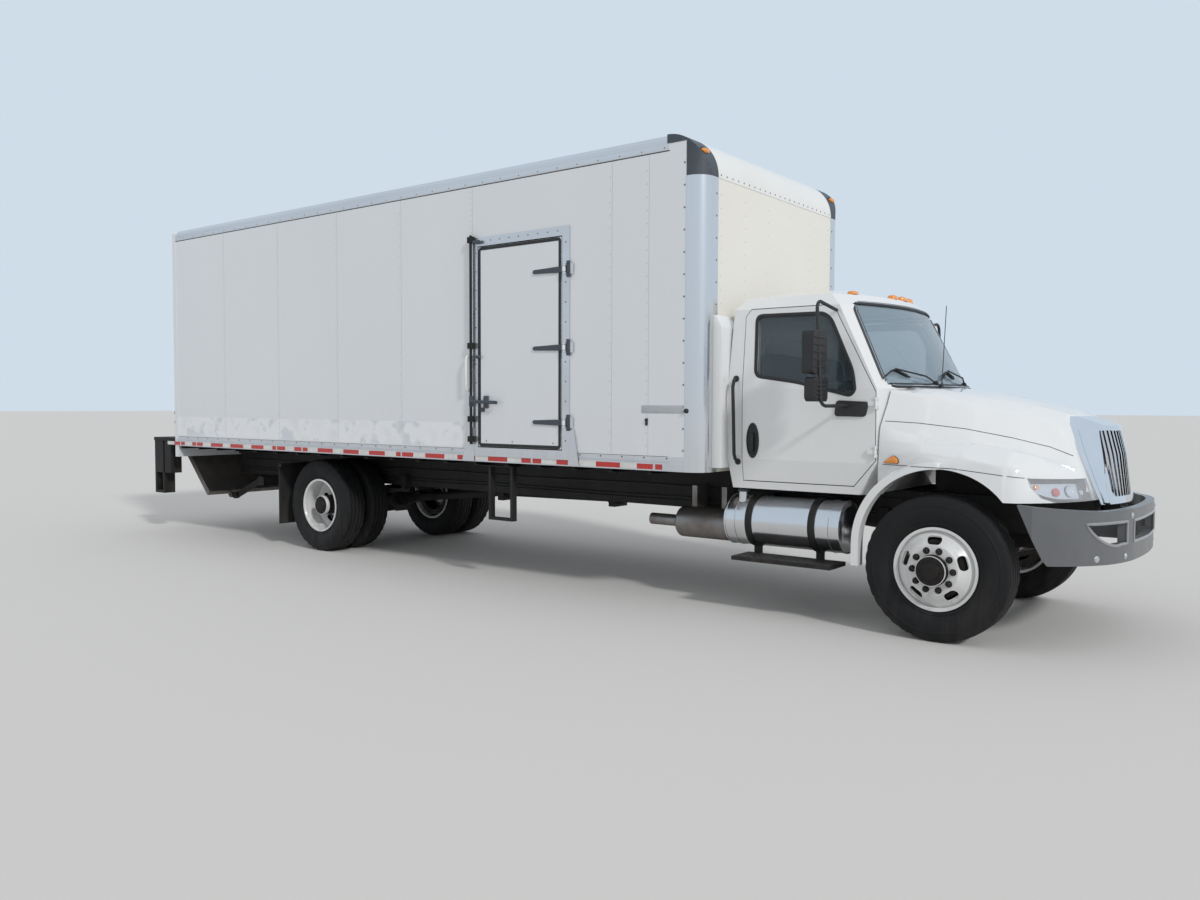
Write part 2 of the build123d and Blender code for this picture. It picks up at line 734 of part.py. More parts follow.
# Exhaust on the right behind the tank: canister, tail pipe and its hangers
canister_radius = 135.0
canister_y = -650.0
canister_z = 640.0
canister_back_x = front_axle_x - 2420.0
canister_front_x = front_axle_x - 1880.0
with BuildPart() as exhaust:
    with BuildSketch(cross_plane(canister_back_x)):
        with Locations((canister_y, canister_z)):
            Circle(canister_radius)
    extrude(amount=canister_front_x - canister_back_x)
    fillet(exhaust.edges().filter_by(GeomType.CIRCLE), 30.0)
    with BuildSketch(cross_plane(canister_back_x + 10.0)):
        with Locations((canister_y, canister_z)):
            Circle(52.0)
    extrude(amount=-330.0)
    for place in (canister_back_x + 120.0, canister_front_x - 120.0):
        block((place - 25.0, place + 25.0), (canister_y + 20.0, -rail_face_y - seat_gap), (740.0, 960.0))
save(exhaust, "exhaust")


# Front bumper: a wrapped channel, open along its top, with two oval openings
def bumper_plan(inset, mode):
    """The bumper's plan outline, drawn in by an inset, over its whole height."""
    points = [
        (front_axle_x + reach - along * inset, across - aside * inset)
        for reach, across, along, aside in bumper_rows
    ]
    left = list(reversed(points[:-1]))
    right = [(x, -y) for x, y in points]
    half = bumper_half - inset
    with BuildSketch(Plane.XY.offset(bumper_low_z)) as outline:
        with BuildLine():
            Line((bumper_back_x, -half), right[0])
            ThreePointArc(*right[0:3])
            ThreePointArc(*right[2:5])
            ThreePointArc(right[4], right[5], left[0])
            ThreePointArc(*left[0:3])
            ThreePointArc(*left[2:5])
            Line(left[4], (bumper_back_x, half))
            Line((bumper_back_x, half), (bumper_back_x, -half))
        make_face()
    extrude(outline.sketch, amount=bumper_top_z - bumper_low_z, mode=mode)


with BuildPart() as front_bumper:
    bumper_plan(0.0, Mode.ADD)
    bumper_plan(bumper_wall, Mode.SUBTRACT)
    block(
        (bumper_back_x - 100.0, bumper_back_x + bumper_wall + 2.0),
        (-bumper_half + bumper_wall, bumper_half - bumper_wall),
        (bumper_low_z, bumper_top_z),
        mode=Mode.SUBTRACT,
    )
    with BuildSketch(side_plane(bumper_half + 10.0)):
        with BuildLine():
            Polyline(
                (bumper_back_x - 10.0, bumper_low_z - 10.0),
                (front_axle_x + 735.0, bumper_low_z - 10.0),
                (front_axle_x + 700.0, bumper_low_z + 40.0),
                (bumper_back_x, bumper_top_z - 10.0),
                (bumper_back_x - 10.0, bumper_top_z - 10.0),
                close=True,
            )
        make_face()
        with BuildLine():
            Polyline(
                (bumper_back_x - 10.0, bumper_top_z + 10.0),
                (bumper_back_x - 10.0, bumper_top_z),
                (bumper_back_x, bumper_top_z),
                (front_axle_x + 960.0, bumper_nose_z),
                (nose_x + 10.0, bumper_nose_z),
                (nose_x + 10.0, bumper_top_z + 10.0),
                close=True,
            )
        make_face()
    extrude(amount=2 * bumper_half + 20.0, mode=Mode.SUBTRACT)
    with BuildSketch(cross_plane(front_axle_x + 760.0)):
        with BuildLine():
            Line((-bumper_smile, bumper_slot_top_z), (bumper_smile, bumper_slot_top_z))
            ThreePointArc(
                (bumper_smile, bumper_slot_top_z),
                (bumper_smile - 85.0, bumper_slot_low_z + 45.0),
                (bumper_smile - 290.0, bumper_slot_low_z),
            )
            Line((bumper_smile - 290.0, bumper_slot_low_z), (-bumper_smile + 290.0, bumper_slot_low_z))
            ThreePointArc(
                (-bumper_smile + 290.0, bumper_slot_low_z),
                (-bumper_smile + 85.0, bumper_slot_low_z + 45.0),
                (-bumper_smile, bumper_slot_top_z),
            )
        make_face()
        with Locations((bumper_post_y, bumper_slot_top_z), (-bumper_post_y, bumper_slot_top_z)):
            Rectangle(bumper_post_width, 400.0, mode=Mode.SUBTRACT)
        with Locations((-plate_hole_spacing / 2, plate_hole_z), (plate_hole_spacing / 2, plate_hole_z)):
            Circle(plate_hole_radius)
    extrude(amount=500.0, mode=Mode.SUBTRACT)
    for side in (1, -1):
        block(
            (rail_front_x - 120.0, nose_x - bumper_wall - 10.0),
            (side * rail_face_y, side * (rail_face_y + 14.0)),
            (rail_bottom_z + 20.0, rail_top_z - 100.0),
        )
save(front_bumper, "front_bumper")


# Cab
def cab_form(inset):
    """The cab's outer form, drawn in by an inset, lofted through its levels."""
    last = len(cab_levels) - 1
    sections = []
    for row, (height, back, half, pillar, centre) in enumerate(cab_levels):
        level = height
        if row == 0:
            level = height + inset
        if row == last:
            level = height - inset
        if row == last - 1:
            level = height - inset * 0.8
        back_x = front_axle_x + back + inset
        pillar_x = front_axle_x + pillar - inset
        centre_x = front_axle_x + centre - inset
        side_y = half - inset
        post_y = side_y - pillar_width
        with BuildSketch(Plane.XY.offset(level)) as section:
            with BuildLine():
                Line((back_x, -side_y), (pillar_x - pillar_step, -side_y))
                Line((pillar_x - pillar_step, -side_y), (pillar_x + pillar_step, -post_y))
                ThreePointArc((pillar_x + pillar_step, -post_y), (centre_x, 0), (pillar_x + pillar_step, post_y))
                Line((pillar_x + pillar_step, post_y), (pillar_x - pillar_step, side_y))
                Line((pillar_x - pillar_step, side_y), (back_x, side_y))
                Line((back_x, side_y), (back_x, -side_y))
            make_face()
        sections.append(section.sketch.face())
    with BuildPart() as form:
        loft(sections, ruled=True)
    return form.part


cab_outside = cab_form(0.0)
cab_inside = cab_form(cab_wall)


# Door outline on the cab's side, from its lower rear corner round by the screen
door_points = (
    (-1606.0, 1066.0),
    (-668.0, 1066.0),
    (-494.0, 1262.0),
    (-494.0, 1772.0),
    (-556.0, 1884.0),
    (-838.0, 2392.0),
    (-905.0, 2438.0),
    (-1560.0, 2438.0),
    (-1606.0, 2385.0),
)
window_points = (
    (-1484.0, 1908.0),
    (-1110.0, 1860.0),
    (-700.0, 1756.0),
    (-664.0, 1796.0),
    (-690.0, 1935.0),
    (-878.0, 2320.0),
    (-940.0, 2368.0),
    (-1500.0, 2380.0),
)
screen_points = ((-930.0, 1828.0), (930.0, 1828.0), (842.0, 2458.0), (-842.0, 2458.0))
back_window_points = ((-560.0, 1780.0), (560.0, 1780.0), (530.0, 2250.0), (-530.0, 2250.0))


def side_outline(points, grow, y_from, y_to, mode):
    """Raise an outline drawn on the cab's side, grown by an amount, across y."""
    with BuildSketch(side_plane(max(y_from, y_to))) as drawing:
        with BuildLine():
            Polyline([(front_axle_x + x, z) for x, z in points], close=True)
        make_face()
        if grow:
            offset(amount=grow, kind=Kind.INTERSECTION)
    extrude(drawing.sketch, amount=abs(y_to - y_from), mode=mode)


def front_outline(points, grow, x_from, x_to, mode):
    """Raise an outline drawn across the cab, grown by an amount, along x."""
    with BuildSketch(cross_plane(min(x_from, x_to))) as drawing:
        with BuildLine():
            Polyline(list(points), close=True)
        make_face()
        if grow:
            offset(amount=grow, kind=Kind.INTERSECTION)
    extrude(drawing.sketch, amount=abs(x_to - x_from), mode=mode)


def hinge_barrel(side, z_low, z_high, radius, mode=Mode.ADD):
    """A length of a cab door hinge's barrel, or of its pin or bore."""
    with BuildSketch(Plane.XY.offset(z_low)) as barrel:
        with Locations((door_hinge_x, side * door_hinge_y)):
            Circle(radius)
    extrude(barrel.sketch, amount=z_high - z_low, mode=mode)


door_inner_y = 800.0
door_outer_y = 1120.0
screen_back_x = front_axle_x - 1100.0
with BuildPart() as cab_shell:
    add(cab_outside)
    add(cab_inside, mode=Mode.SUBTRACT)
    for side in (1, -1):
        side_outline(door_points, door_gap, side * door_inner_y, side * door_outer_y, Mode.SUBTRACT)
    front_outline(screen_points, 0.0, screen_back_x, front_axle_x, Mode.SUBTRACT)
    front_outline(
        back_window_points, 0.0, front_axle_x - 1800.0, front_axle_x - 1500.0, Mode.SUBTRACT
    )
    for side in (1, -1):
        for height in door_hinge_heights:
            low_z = height - door_hinge_length / 2
            high_z = height + door_hinge_length / 2
            hinge_barrel(side, low_z, low_z + 26.0, door_hinge_radius)
            hinge_barrel(side, high_z - 26.0, high_z, door_hinge_radius)
            hinge_barrel(side, low_z, high_z, door_hinge_pin)
            for z_low in (low_z, high_z - 26.0):
                block(
                    (door_hinge_x, door_hinge_x + 12.0),
                    (side * (door_hinge_y - 40.0), side * (door_hinge_y + 3.0)),
                    (z_low, z_low + 26.0),
                )
save(cab_shell, "cab_shell")

# Windscreen and rear window: thin slices of the same form
glass_outside = cab_form(glass_inset)
glass_inside = cab_form(glass_inset + glass_thickness)
with BuildPart() as glass_zones:
    front_outline(screen_points, -seat_gap, screen_back_x, front_axle_x, Mode.ADD)
    front_outline(
        back_window_points, -seat_gap, front_axle_x - 1800.0, front_axle_x - 1500.0, Mode.ADD
    )
with BuildPart() as cab_glass:
    add(glass_outside)
    add(glass_inside, mode=Mode.SUBTRACT)
    add(glass_zones.part, mode=Mode.INTERSECT)
save(cab_glass, "cab_glass")

door_inside = cab_form(cab_wall - 6.0)

for side, name in ((1, "left"), (-1, "right")):
    with BuildPart() as door_zone:
        side_outline(door_points, 0.0, side * door_inner_y, side * door_outer_y, Mode.ADD)
        side_outline(window_points, 0.0, side * door_inner_y, side * door_outer_y, Mode.SUBTRACT)
    with BuildPart() as cab_door:
        add(cab_outside)
        add(door_inside, mode=Mode.SUBTRACT)
        add(door_zone.part, mode=Mode.INTERSECT)
        for height in door_hinge_heights:
            hinge_barrel(side, height - 18.0, height + 18.0, door_hinge_radius)
            for leaf_back, leaf_front, leaf_in in ((60.0, 12.0, 19.0), (14.0, 0.0, 4.0)):
                block(
                    (door_hinge_x - leaf_back, door_hinge_x - leaf_front),
                    (side * (door_hinge_y - leaf_in), side * (door_hinge_y + 3.0)),
                    (height - 18.0, height + 18.0),
                )
            hinge_barrel(
                side, height - 19.0, height + 19.0, door_hinge_pin + running_gap, mode=Mode.SUBTRACT
            )
    save(cab_door, "cab_door_" + name)

    with BuildPart() as window_zone:
        side_outline(window_points, -seat_gap, side * door_inner_y, side * door_outer_y, Mode.ADD)
    with BuildPart() as door_glass:
        add(glass_outside)
        add(glass_inside, mode=Mode.SUBTRACT)
        add(window_zone.part, mode=Mode.INTERSECT)
    save(door_glass, "door_glass_" + name)

# Mirrors: a tube loop from the door's top to below the window, two heads on it
mirror_foot_x = front_axle_x - 700.0
mirror_foot_y = 1015.0
mirror_out_y = 1330.0
mirror_low_z = 1668.0
mirror_top_z = 2445.0
mirror_tube = 13.0
mirror_clear = cab_form(-seat_gap)
for side, name in ((1, "left"), (-1, "right")):
    with BuildPart() as mirror:
        with BuildLine() as loop:
            FilletPolyline(
                (mirror_foot_x, side * mirror_foot_y, mirror_low_z),
                (mirror_foot_x - 90.0, side * mirror_out_y, mirror_low_z),
                (mirror_foot_x - 130.0, side * mirror_out_y, mirror_top_z),
                (mirror_foot_x - 130.0, side * 985.0, mirror_top_z - 50.0),
                radius=60.0,
            )
        with BuildSketch(Plane(origin=loop.line @ 0, z_dir=loop.line % 0)):
            Circle(mirror_tube)
        sweep()
        for low, high, depth in ((1900.0, 2225.0, 88.0), (1700.0, 1880.0, 76.0)):
            middle_x = mirror_foot_x - 90.0 - 40.0 * (low - mirror_low_z) / (mirror_top_z - mirror_low_z)
            with BuildSketch(cross_plane(middle_x - depth - 6.0)):
                with Locations((side * (mirror_out_y - 20.0), (low + high) / 2)):
                    RectangleRounded(230.0, high - low, 36.0)
            extrude(amount=depth)
        add(mirror_clear, mode=Mode.SUBTRACT)
    save(mirror, "mirror_" + name)

# Five lamps along the front edge of the cab's roof, in rows: from the axle, across
roof_lamp_rows = ((-850.0, -620.0), (-700.0, -170.0), (-690.0, 0.0), (-700.0, 170.0), (-850.0, 620.0))
roof_lamp_top_z = 2578.0
with BuildPart() as roof_lamps:
    for place, across in roof_lamp_rows:
        block(
            (front_axle_x + place - 45.0, front_axle_x + place + 30.0),
            (across - 55.0, across + 55.0),
            (2480.0, roof_lamp_top_z),
        )
    add(mirror_clear, mode=Mode.SUBTRACT)
save(roof_lamps, "roof_lamps")

# Cab inside: dashboard with the steering column and wheel, then the seats
dash_room = cab_form(cab_wall + seat_gap)
dash_half = 880.0
steering_y = 500.0
with BuildPart() as dashboard:
    with BuildSketch(side_plane(dash_half)):
        with BuildLine():
            Polyline(
                (front_axle_x - 300.0, 1300.0),
                (front_axle_x - 300.0, 1745.0),
                (front_axle_x - 640.0, 1745.0),
                (front_axle_x - 800.0, 1700.0),
                (front_axle_x - 830.0, 1560.0),
                (front_axle_x - 700.0, 1440.0),
                (front_axle_x - 680.0, 1300.0),
                close=True,
            )
        make_face()
    extrude(amount=2 * dash_half)
    add(dash_room, mode=Mode.INTERSECT)
    column = Plane(origin=(front_axle_x - 900.0, steering_y, 1730.0), x_dir=(0, 1, 0), z_dir=(-0.62, 0, 0.78))
    with BuildSketch(column):
        Circle(30.0)
    extrude(amount=-170.0)
    with BuildSketch(column):
        Circle(60.0)
        Rectangle(410.0, 36.0)
    extrude(amount=22.0)
    with BuildSketch(column):
        Circle(225.0)
        Circle(198.0, mode=Mode.SUBTRACT)
    extrude(amount=26.0)
save(dashboard, "dashboard")

# Rows: middle across, width of the seat
seat_rows = ((500.0, 520.0), (-420.0, 860.0))
with BuildPart() as seats:
    for middle_y, width in seat_rows:
        with BuildSketch(side_plane(middle_y + width / 2)):
            with BuildLine():
                Polyline(
                    (front_axle_x - 1560.0, 1058.0 + seat_gap),
                    (front_axle_x - 1120.0, 1058.0 + seat_gap),
                    (front_axle_x - 1080.0, 1420.0),
                    (front_axle_x - 1090.0, 1530.0),
                    (front_axle_x - 1440.0, 1500.0),
                    (front_axle_x - 1470.0, 2130.0),
                    (front_axle_x - 1550.0, 2160.0),
                    (front_axle_x - 1605.0, 2100.0),
                    (front_axle_x - 1600.0, 1500.0),
                    close=True,
                )
            make_face()
        extrude(amount=width)
        fillet(seats.edges().filter_by(Axis.Y), 24.0)
save(seats, "seats")


# Hood and wings: one tilting shell, lofted through its stations, its nose rounded
def hood_skin(inset, low_z):
    """The hood and wings, lofted through the stations and drawn in by an inset."""
    sections = []
    for place, mid_z, ry, rz, ey, ez, vy, vz, cy, cz, oy, oz, ly in hood_stations:
        half_outline = (
            (ry - 0.4 * inset, rz - inset),
            (ey - inset, ez - inset),
            (vy - inset, vz - 0.4 * inset),
            (cy - 0.4 * inset, cz - inset),
            (oy - inset, oz - inset),
            (ly - inset, low_z),
        )
        left = [(0.0, mid_z - inset)] + list(half_outline)
        right = [(-y, z) for y, z in reversed(half_outline)]
        with BuildSketch(cross_plane(front_axle_x + place)) as section:
            with BuildLine():
                Polyline(left + right, close=True)
            make_face()
        sections.append(section.sketch.face())
    with BuildPart() as skin:
        loft(sections, ruled=True)
    return skin.part


def hood_form(inset):
    """The hood's outer form, its wings rounded off in plan."""
    back_x = front_axle_x - 700.0
    ahead_x = front_axle_x + 1200.0
    front_y = hood_nose_half - inset
    outlines = []
    for height, corner, corner_y, cheek, cheek_y, front in hood_plan:
        corner_x = front_axle_x + corner - inset
        cheek_x = front_axle_x + cheek - inset
        front_x = front_axle_x + front - inset
        half = corner_y - inset
        cheek_half = cheek_y - inset
        with BuildSketch(Plane.XY.offset(height)) as outline:
            with BuildLine():
                Line((ahead_x, -front_y), (front_x, -front_y))
                ThreePointArc((front_x, -front_y), (cheek_x, -cheek_half), (corner_x, -half))
                Polyline((corner_x, -half), (back_x, -half), (back_x, half), (corner_x, half))
                ThreePointArc((corner_x, half), (cheek_x, cheek_half), (front_x, front_y))
                Line((front_x, front_y), (ahead_x, front_y))
                Line((ahead_x, front_y), (ahead_x, -front_y))
            make_face()
        outlines.append(outline.sketch.face())
    with BuildPart() as form:
        loft(outlines, ruled=True)
        add(hood_skin(inset, hood_low_z), mode=Mode.INTERSECT)
    return form.part


def grille_form(inset, low_z, top_z):
    """The grille's outer form between two heights, drawn in by an inset."""
    sections = []
    for height, back, flank, middle in grille_rows:
        level = min(max(height, low_z), top_z)
        back_x = front_axle_x + back
        deep_x = back_x - grille_lip - 10.0 * inset
        flank_x = front_axle_x + flank - inset
        middle_x = front_axle_x + middle - inset
        flank_y = grille_flank - inset
        half = grille_half - inset
        with BuildSketch(Plane.XY.offset(level)) as section:
            with BuildLine():
                Polyline((deep_x, -flank_y), (back_x, -flank_y), (flank_x, -half))
                ThreePointArc((flank_x, -half), (middle_x, 0), (flank_x, half))
                Polyline((flank_x, half), (back_x, flank_y), (deep_x, flank_y), (deep_x, -flank_y))
            make_face()
        sections.append(section.sketch.face())
    with BuildPart() as form:
        loft(sections, ruled=True)
    return form.part


# Headlamp outline, seen from the side, on the wing's front corner
lamp_points = (
    (575.0, 1186.0),
    (860.0, 1168.0),
    (1020.0, 1164.0),
    (1020.0, 1000.0),
    (770.0, 1000.0),
    (655.0, 1052.0),
    (598.0, 1122.0),
)
lamp_inner_y = 520.0
lamp_outer_y = 1200.0
lamp_depth = 60.0


def lamp_zone(side, inset, mode):
    """The space of one headlamp, drawn in by an inset."""
    with BuildSketch(side_plane(max(side * lamp_inner_y, side * lamp_outer_y) - inset)) as drawing:
        with BuildLine():
            Polyline([(front_axle_x + x, z) for x, z in lamp_points], close=True)
        make_face()
        if inset:
            offset(amount=-inset, kind=Kind.INTERSECTION)
    extrude(drawing.sketch, amount=lamp_outer_y - lamp_inner_y - 2 * inset, mode=mode)


hood_back_gap = 12.0
hood_outside = hood_form(0.0)
hood_inside = hood_form(hood_wall)
cab_room = cab_form(-hood_back_gap)
nose_gap = seat_gap
with BuildPart() as nose_room:
    nose_sections = []
    for height, back, flank, middle in grille_rows:
        with BuildSketch(Plane.XY.offset(height)) as nose_section:
            room_back = back - grille_lip - nose_gap
            with Locations((front_axle_x + (room_back + 1400.0) / 2, 0)):
                Rectangle(1400.0 - room_back, 2 * (grille_flank + nose_gap))
        nose_sections.append(nose_section.sketch.face())
    loft(nose_sections, ruled=True)
with BuildPart() as hood:
    add(hood_outside)
    add(hood_inside, mode=Mode.SUBTRACT)
    # The wheel arches are cut through the wings
    cross_rod(arch_centre_x, arch_centre_z, arch_radius, (-1300.0, 1300.0), mode=Mode.SUBTRACT)
    add(nose_room.part, mode=Mode.SUBTRACT)
    add(cab_room, mode=Mode.SUBTRACT)
    for side in (1, -1):
        lamp_zone(side, 0.0, Mode.SUBTRACT)
        # A turned band runs round the arch's rear half and straight down behind the wheel
        band_y = max(side * arch_band_inner_y, side * arch_band_outer_y)
        with BuildSketch(side_plane(band_y)):
            with Locations((arch_centre_x, arch_centre_z)):
                Circle(arch_radius + arch_band)
                Circle(arch_radius, mode=Mode.SUBTRACT)
                with Locations((1000.0, 0)):
                    Rectangle(2000.0, 2000.0, mode=Mode.SUBTRACT)
                with Locations((-500.0, -1000.0)):
                    Rectangle(1000.0, 2000.0, mode=Mode.SUBTRACT)
            band_x = arch_centre_x - arch_radius - arch_band / 2
            with Locations((band_x, (arch_centre_z + arch_band_low_z) / 2 + 1.0)):
                Rectangle(arch_band, arch_centre_z - arch_band_low_z + 2.0)
        extrude(amount=arch_band_outer_y - arch_band_inner_y)
save(hood, "hood")

lamp_core = hood_form(lamp_depth)
with BuildPart() as lamp_zones:
    for side in (1, -1):
        lamp_zone(side, seat_gap, Mode.ADD)
with BuildPart() as headlamps:
    add(hood_outside)
    add(lamp_core, mode=Mode.SUBTRACT)
    add(lamp_zones.part, mode=Mode.INTERSECT)
save(headlamps, "headlamps")

# Grille: a bright surround flush with the hood, upright bars across its opening
with BuildPart() as grille:
    add(grille_form(0.0, 985.0, 1600.0))
    add(hood_skin(0.0, 900.0), mode=Mode.INTERSECT)
    add(grille_form(grille_wall, 1000.0, 1515.0), mode=Mode.SUBTRACT)
    block(
        (front_axle_x + 600.0, front_axle_x + 930.0),
        (-grille_flank + grille_wall, grille_flank - grille_wall),
        (980.0, 1500.0),
        mode=Mode.SUBTRACT,
    )
    # Notches in the foot clear the frame's brackets while the hood tilts
    for side in (1, -1):
        block(
            (front_axle_x + 900.0, front_axle_x + 975.0),
            (side * 385.0, side * (grille_flank - grille_wall)),
            (980.0, 1002.0),
            mode=Mode.SUBTRACT,
        )
    opening_high = grille_opening_top_z - grille_opening_low_z
    with BuildSketch(cross_plane(front_axle_x + 700.0)):
        with Locations((0, (grille_opening_low_z + grille_opening_top_z) / 2)):
            RectangleRounded(2 * grille_opening_half, opening_high, 50.0)
    extrude(amount=400.0, mode=Mode.SUBTRACT)
    pitch = 2 * grille_opening_half / (grille_bars + 1)
    for bar in range(1, grille_bars + 1):
        bar_y = -grille_opening_half + bar * pitch
        sag = (bar_y / grille_half) ** 2
        low_x = front_axle_x + 1032.0 - 60.0 * sag
        middle_x = front_axle_x + 998.0 - 96.0 * sag
        high_x = front_axle_x + 953.0 - 92.0 * sag
        with BuildSketch(side_plane(bar_y + grille_bar_width / 2)):
            with BuildLine():
                Polyline(
                    (low_x - 6.0, grille_opening_low_z - 8.0),
                    (middle_x - 6.0, 1330.0),
                    (high_x - 6.0, grille_opening_top_z + 8.0),
                    (high_x - 28.0, grille_opening_top_z + 8.0),
                    (middle_x - 28.0, 1330.0),
                    (low_x - 28.0, grille_opening_low_z - 8.0),
                    close=True,
                )
            make_face()
        extrude(amount=grille_bar_width)
save(grille, "grille")

# Hood hinge: a bar in the grille's foot, on an arm with a pin at each end, which
# turns in the bracket on its rail
bracket_y = rail_face_y - rail_thickness
foot_low_z = 1000.0 + seat_gap
with BuildPart() as hood_hinge:
    for side in (1, -1):
        y = side * hood_arm_y
        with BuildSketch(side_plane(y + hood_arm_width / 2)):
            with Locations((hood_pivot_x, hood_pivot_z)):
                Circle(hood_boss_radius)
            with Locations((hood_pivot_x + 24.5, foot_low_z + 11.0)):
                Rectangle(59.0, 22.0)
        extrude(amount=hood_arm_width)
        cross_rod(hood_pivot_x, hood_pivot_z, hood_pin_radius, (y, side * bracket_y))
    block(
        (hood_pivot_x + 36.0, hood_pivot_x + 54.0),
        (-hood_arm_y, hood_arm_y),
        (foot_low_z, foot_low_z + 22.0),
    )
save(hood_hinge, "hood_hinge")

# Van body: the whole outer form, from which the rounded front pieces are split
def body_form(inset):
    """The van body's outside, drawn in by an inset, with its rounded front."""
    front = body_front_x - inset
    half = body_half - inset
    top = roof_top_z - inset
    radius = nose_radius - inset
    corner = corner_radius - inset
    slant = math.sqrt(0.5)
    back = body_front_x - 2 * nose_radius
    with BuildPart() as form:
        with BuildSketch(side_plane(body_half + 10.0)):
            with BuildLine():
                Line((back, side_rail_low_z), (front, side_rail_low_z))
                Line((front, side_rail_low_z), (front, top - radius))
                ThreePointArc(
                    (front, top - radius),
                    (front - radius + radius * slant, top - radius + radius * slant),
                    (front - radius, top),
                )
                Line((front - radius, top), (back, top))
                Line((back, top), (back, side_rail_low_z))
            make_face()
        extrude(amount=2 * body_half + 20.0)
        with BuildSketch(Plane.XY.offset(side_rail_low_z)):
            with BuildLine():
                Line((back, -half), (front - corner, -half))
                ThreePointArc(
                    (front - corner, -half),
                    (front - corner + corner * slant, -half + corner - corner * slant),
                    (front, -half + corner),
                )
                Line((front, -half + corner), (front, half - corner))
                ThreePointArc(
                    (front, half - corner),
                    (front - corner + corner * slant, half - corner + corner * slant),
                    (front - corner, half),
                )
                Line((front - corner, half), (back, half))
                Line((back, half), (back, -half))
            make_face()
        extrude(amount=roof_top_z - side_rail_low_z + 10.0, mode=Mode.INTERSECT)
    return form.part


post_back_x = body_front_x - post_side
nose_back_x = body_front_x - nose_radius - nose_margin
post_y = body_half - post_front
nose_seam_z = roof_top_z - nose_radius - nose_margin


body_outside = body_form(0.0)
body_inside = body_form(body_wall)


def front_piece(x_ends, y_rows, z_ends):
    """A piece of the body's rounded front, cut out between planes."""
    with BuildPart() as zone:
        for y_ends in y_rows:
            block(x_ends, y_ends, z_ends)
    with BuildPart() as piece:
        add(body_outside)
        add(body_inside, mode=Mode.SUBTRACT)
        add(zone.part, mode=Mode.INTERSECT)
    return piece


both_sides = ((-body_half - 5.0, -post_y), (post_y, body_half + 5.0))
corner_posts = front_piece(
    (post_back_x, body_front_x + 5.0), both_sides, (side_rail_low_z, nose_seam_z)
)
save(corner_posts, "corner_posts")

# The cast corner caps: thick where both curves meet, hollow behind the wall and nose
cap_side_depth = 200.0
cap_top_depth = 85.0
with BuildPart() as corner_caps:
    add(body_outside)
    with BuildPart(mode=Mode.PRIVATE) as cap_zone:
        for y_ends in both_sides:
            block((nose_back_x, body_front_x + 5.0), y_ends, (nose_seam_z, roof_top_z + 5.0))
            block(
                (nose_back_x, post_back_x), y_ends, (nose_seam_z, side_top_z), mode=Mode.SUBTRACT
            )
    add(cap_zone.part, mode=Mode.INTERSECT)
    block(
        (nose_back_x - 5.0, body_front_x - cap_side_depth),
        (-body_half + body_wall, body_half - body_wall),
        (nose_seam_z - 5.0, roof_top_z - cap_top_depth),
        mode=Mode.SUBTRACT,
    )
    block(
        (nose_back_x - 5.0, body_front_x - body_wall),
        (-body_half + corner_radius, body_half - corner_radius),
        (nose_seam_z - 5.0, nose_seam_z + 80.0),
        mode=Mode.SUBTRACT,
    )
save(corner_caps, "corner_caps")

nose_panel = front_piece(
    (nose_back_x, body_front_x + 5.0), ((-post_y, post_y),), (nose_seam_z, roof_top_z + 5.0)
)
save(nose_panel, "roof_nose")

with BuildPart() as front_wall:
    block(
        (body_front_x - body_wall, body_front_x - wall_relief),
        (-post_y, post_y),
        (side_rail_low_z, nose_seam_z),
    )
save(front_wall, "front_wall")

rear_frame_x = body_back_x + rear_frame_depth
rail_inner_y = body_half - body_wall

# Side walls, the right one with the opening of its door
wall_outer_y = body_half - wall_relief
with BuildPart() as left_wall:
    block((rear_frame_x, post_back_x), (rail_inner_y, wall_outer_y), (side_rail_top_z, side_top_z))
save(left_wall, "left_wall")

with BuildPart() as right_wall:
    block((rear_frame_x, post_back_x), (-wall_outer_y, -rail_inner_y), (side_rail_top_z, side_top_z))
    block(
        (side_opening_back_x - side_lining, side_opening_front_x + side_lining),
        (-body_half, -rail_inner_y + 5.0),
        (side_opening_low_z - side_lining, side_opening_top_z + side_lining),
        mode=Mode.SUBTRACT,
    )
save(right_wall, "right_wall")

# Extruded rails along the bottom and the top of each side, closed over by the walls
with BuildPart() as side_rails:
    for side in (1, -1):
        with BuildSketch(cross_plane(rear_frame_x)):
            with BuildLine():
                Polyline(
                    (side * body_half, side_rail_low_z),
                    (side * body_half, side_rail_top_z),
                    (side * rail_inner_y, side_rail_top_z),
                    (side * rail_inner_y, floor_top_z + seat_gap),
                    (side * (body_half - 10.0), floor_top_z + seat_gap),
                    (side * (body_half - 10.0), side_rail_low_z),
                    close=True,
                )
            make_face()
        extrude(amount=post_back_x - rear_frame_x)
        with BuildSketch(cross_plane(rear_frame_x)) as rail_section:
            with BuildLine():
                Polyline(
                    (side * body_half, side_top_z),
                    (side * body_half, roof_top_z - roof_edge_radius),
                    (side * (body_half - roof_edge_radius), roof_top_z),
                    (side * (body_half - 110.0), roof_top_z),
                    (side * (body_half - 110.0), roof_top_z - roof_sheet - 8.0),
                    (side * rail_inner_y, roof_top_z - roof_sheet - 8.0),
                    (side * rail_inner_y, side_top_z),
                    close=True,
                )
            make_face()
        extrude(rail_section.sketch, amount=post_back_x - rear_frame_x)
    block(
        (nose_back_x, body_front_x), (-body_half, body_half), (nose_seam_z, roof_top_z + 5.0), mode=Mode.SUBTRACT
    )
save(side_rails, "side_rails")

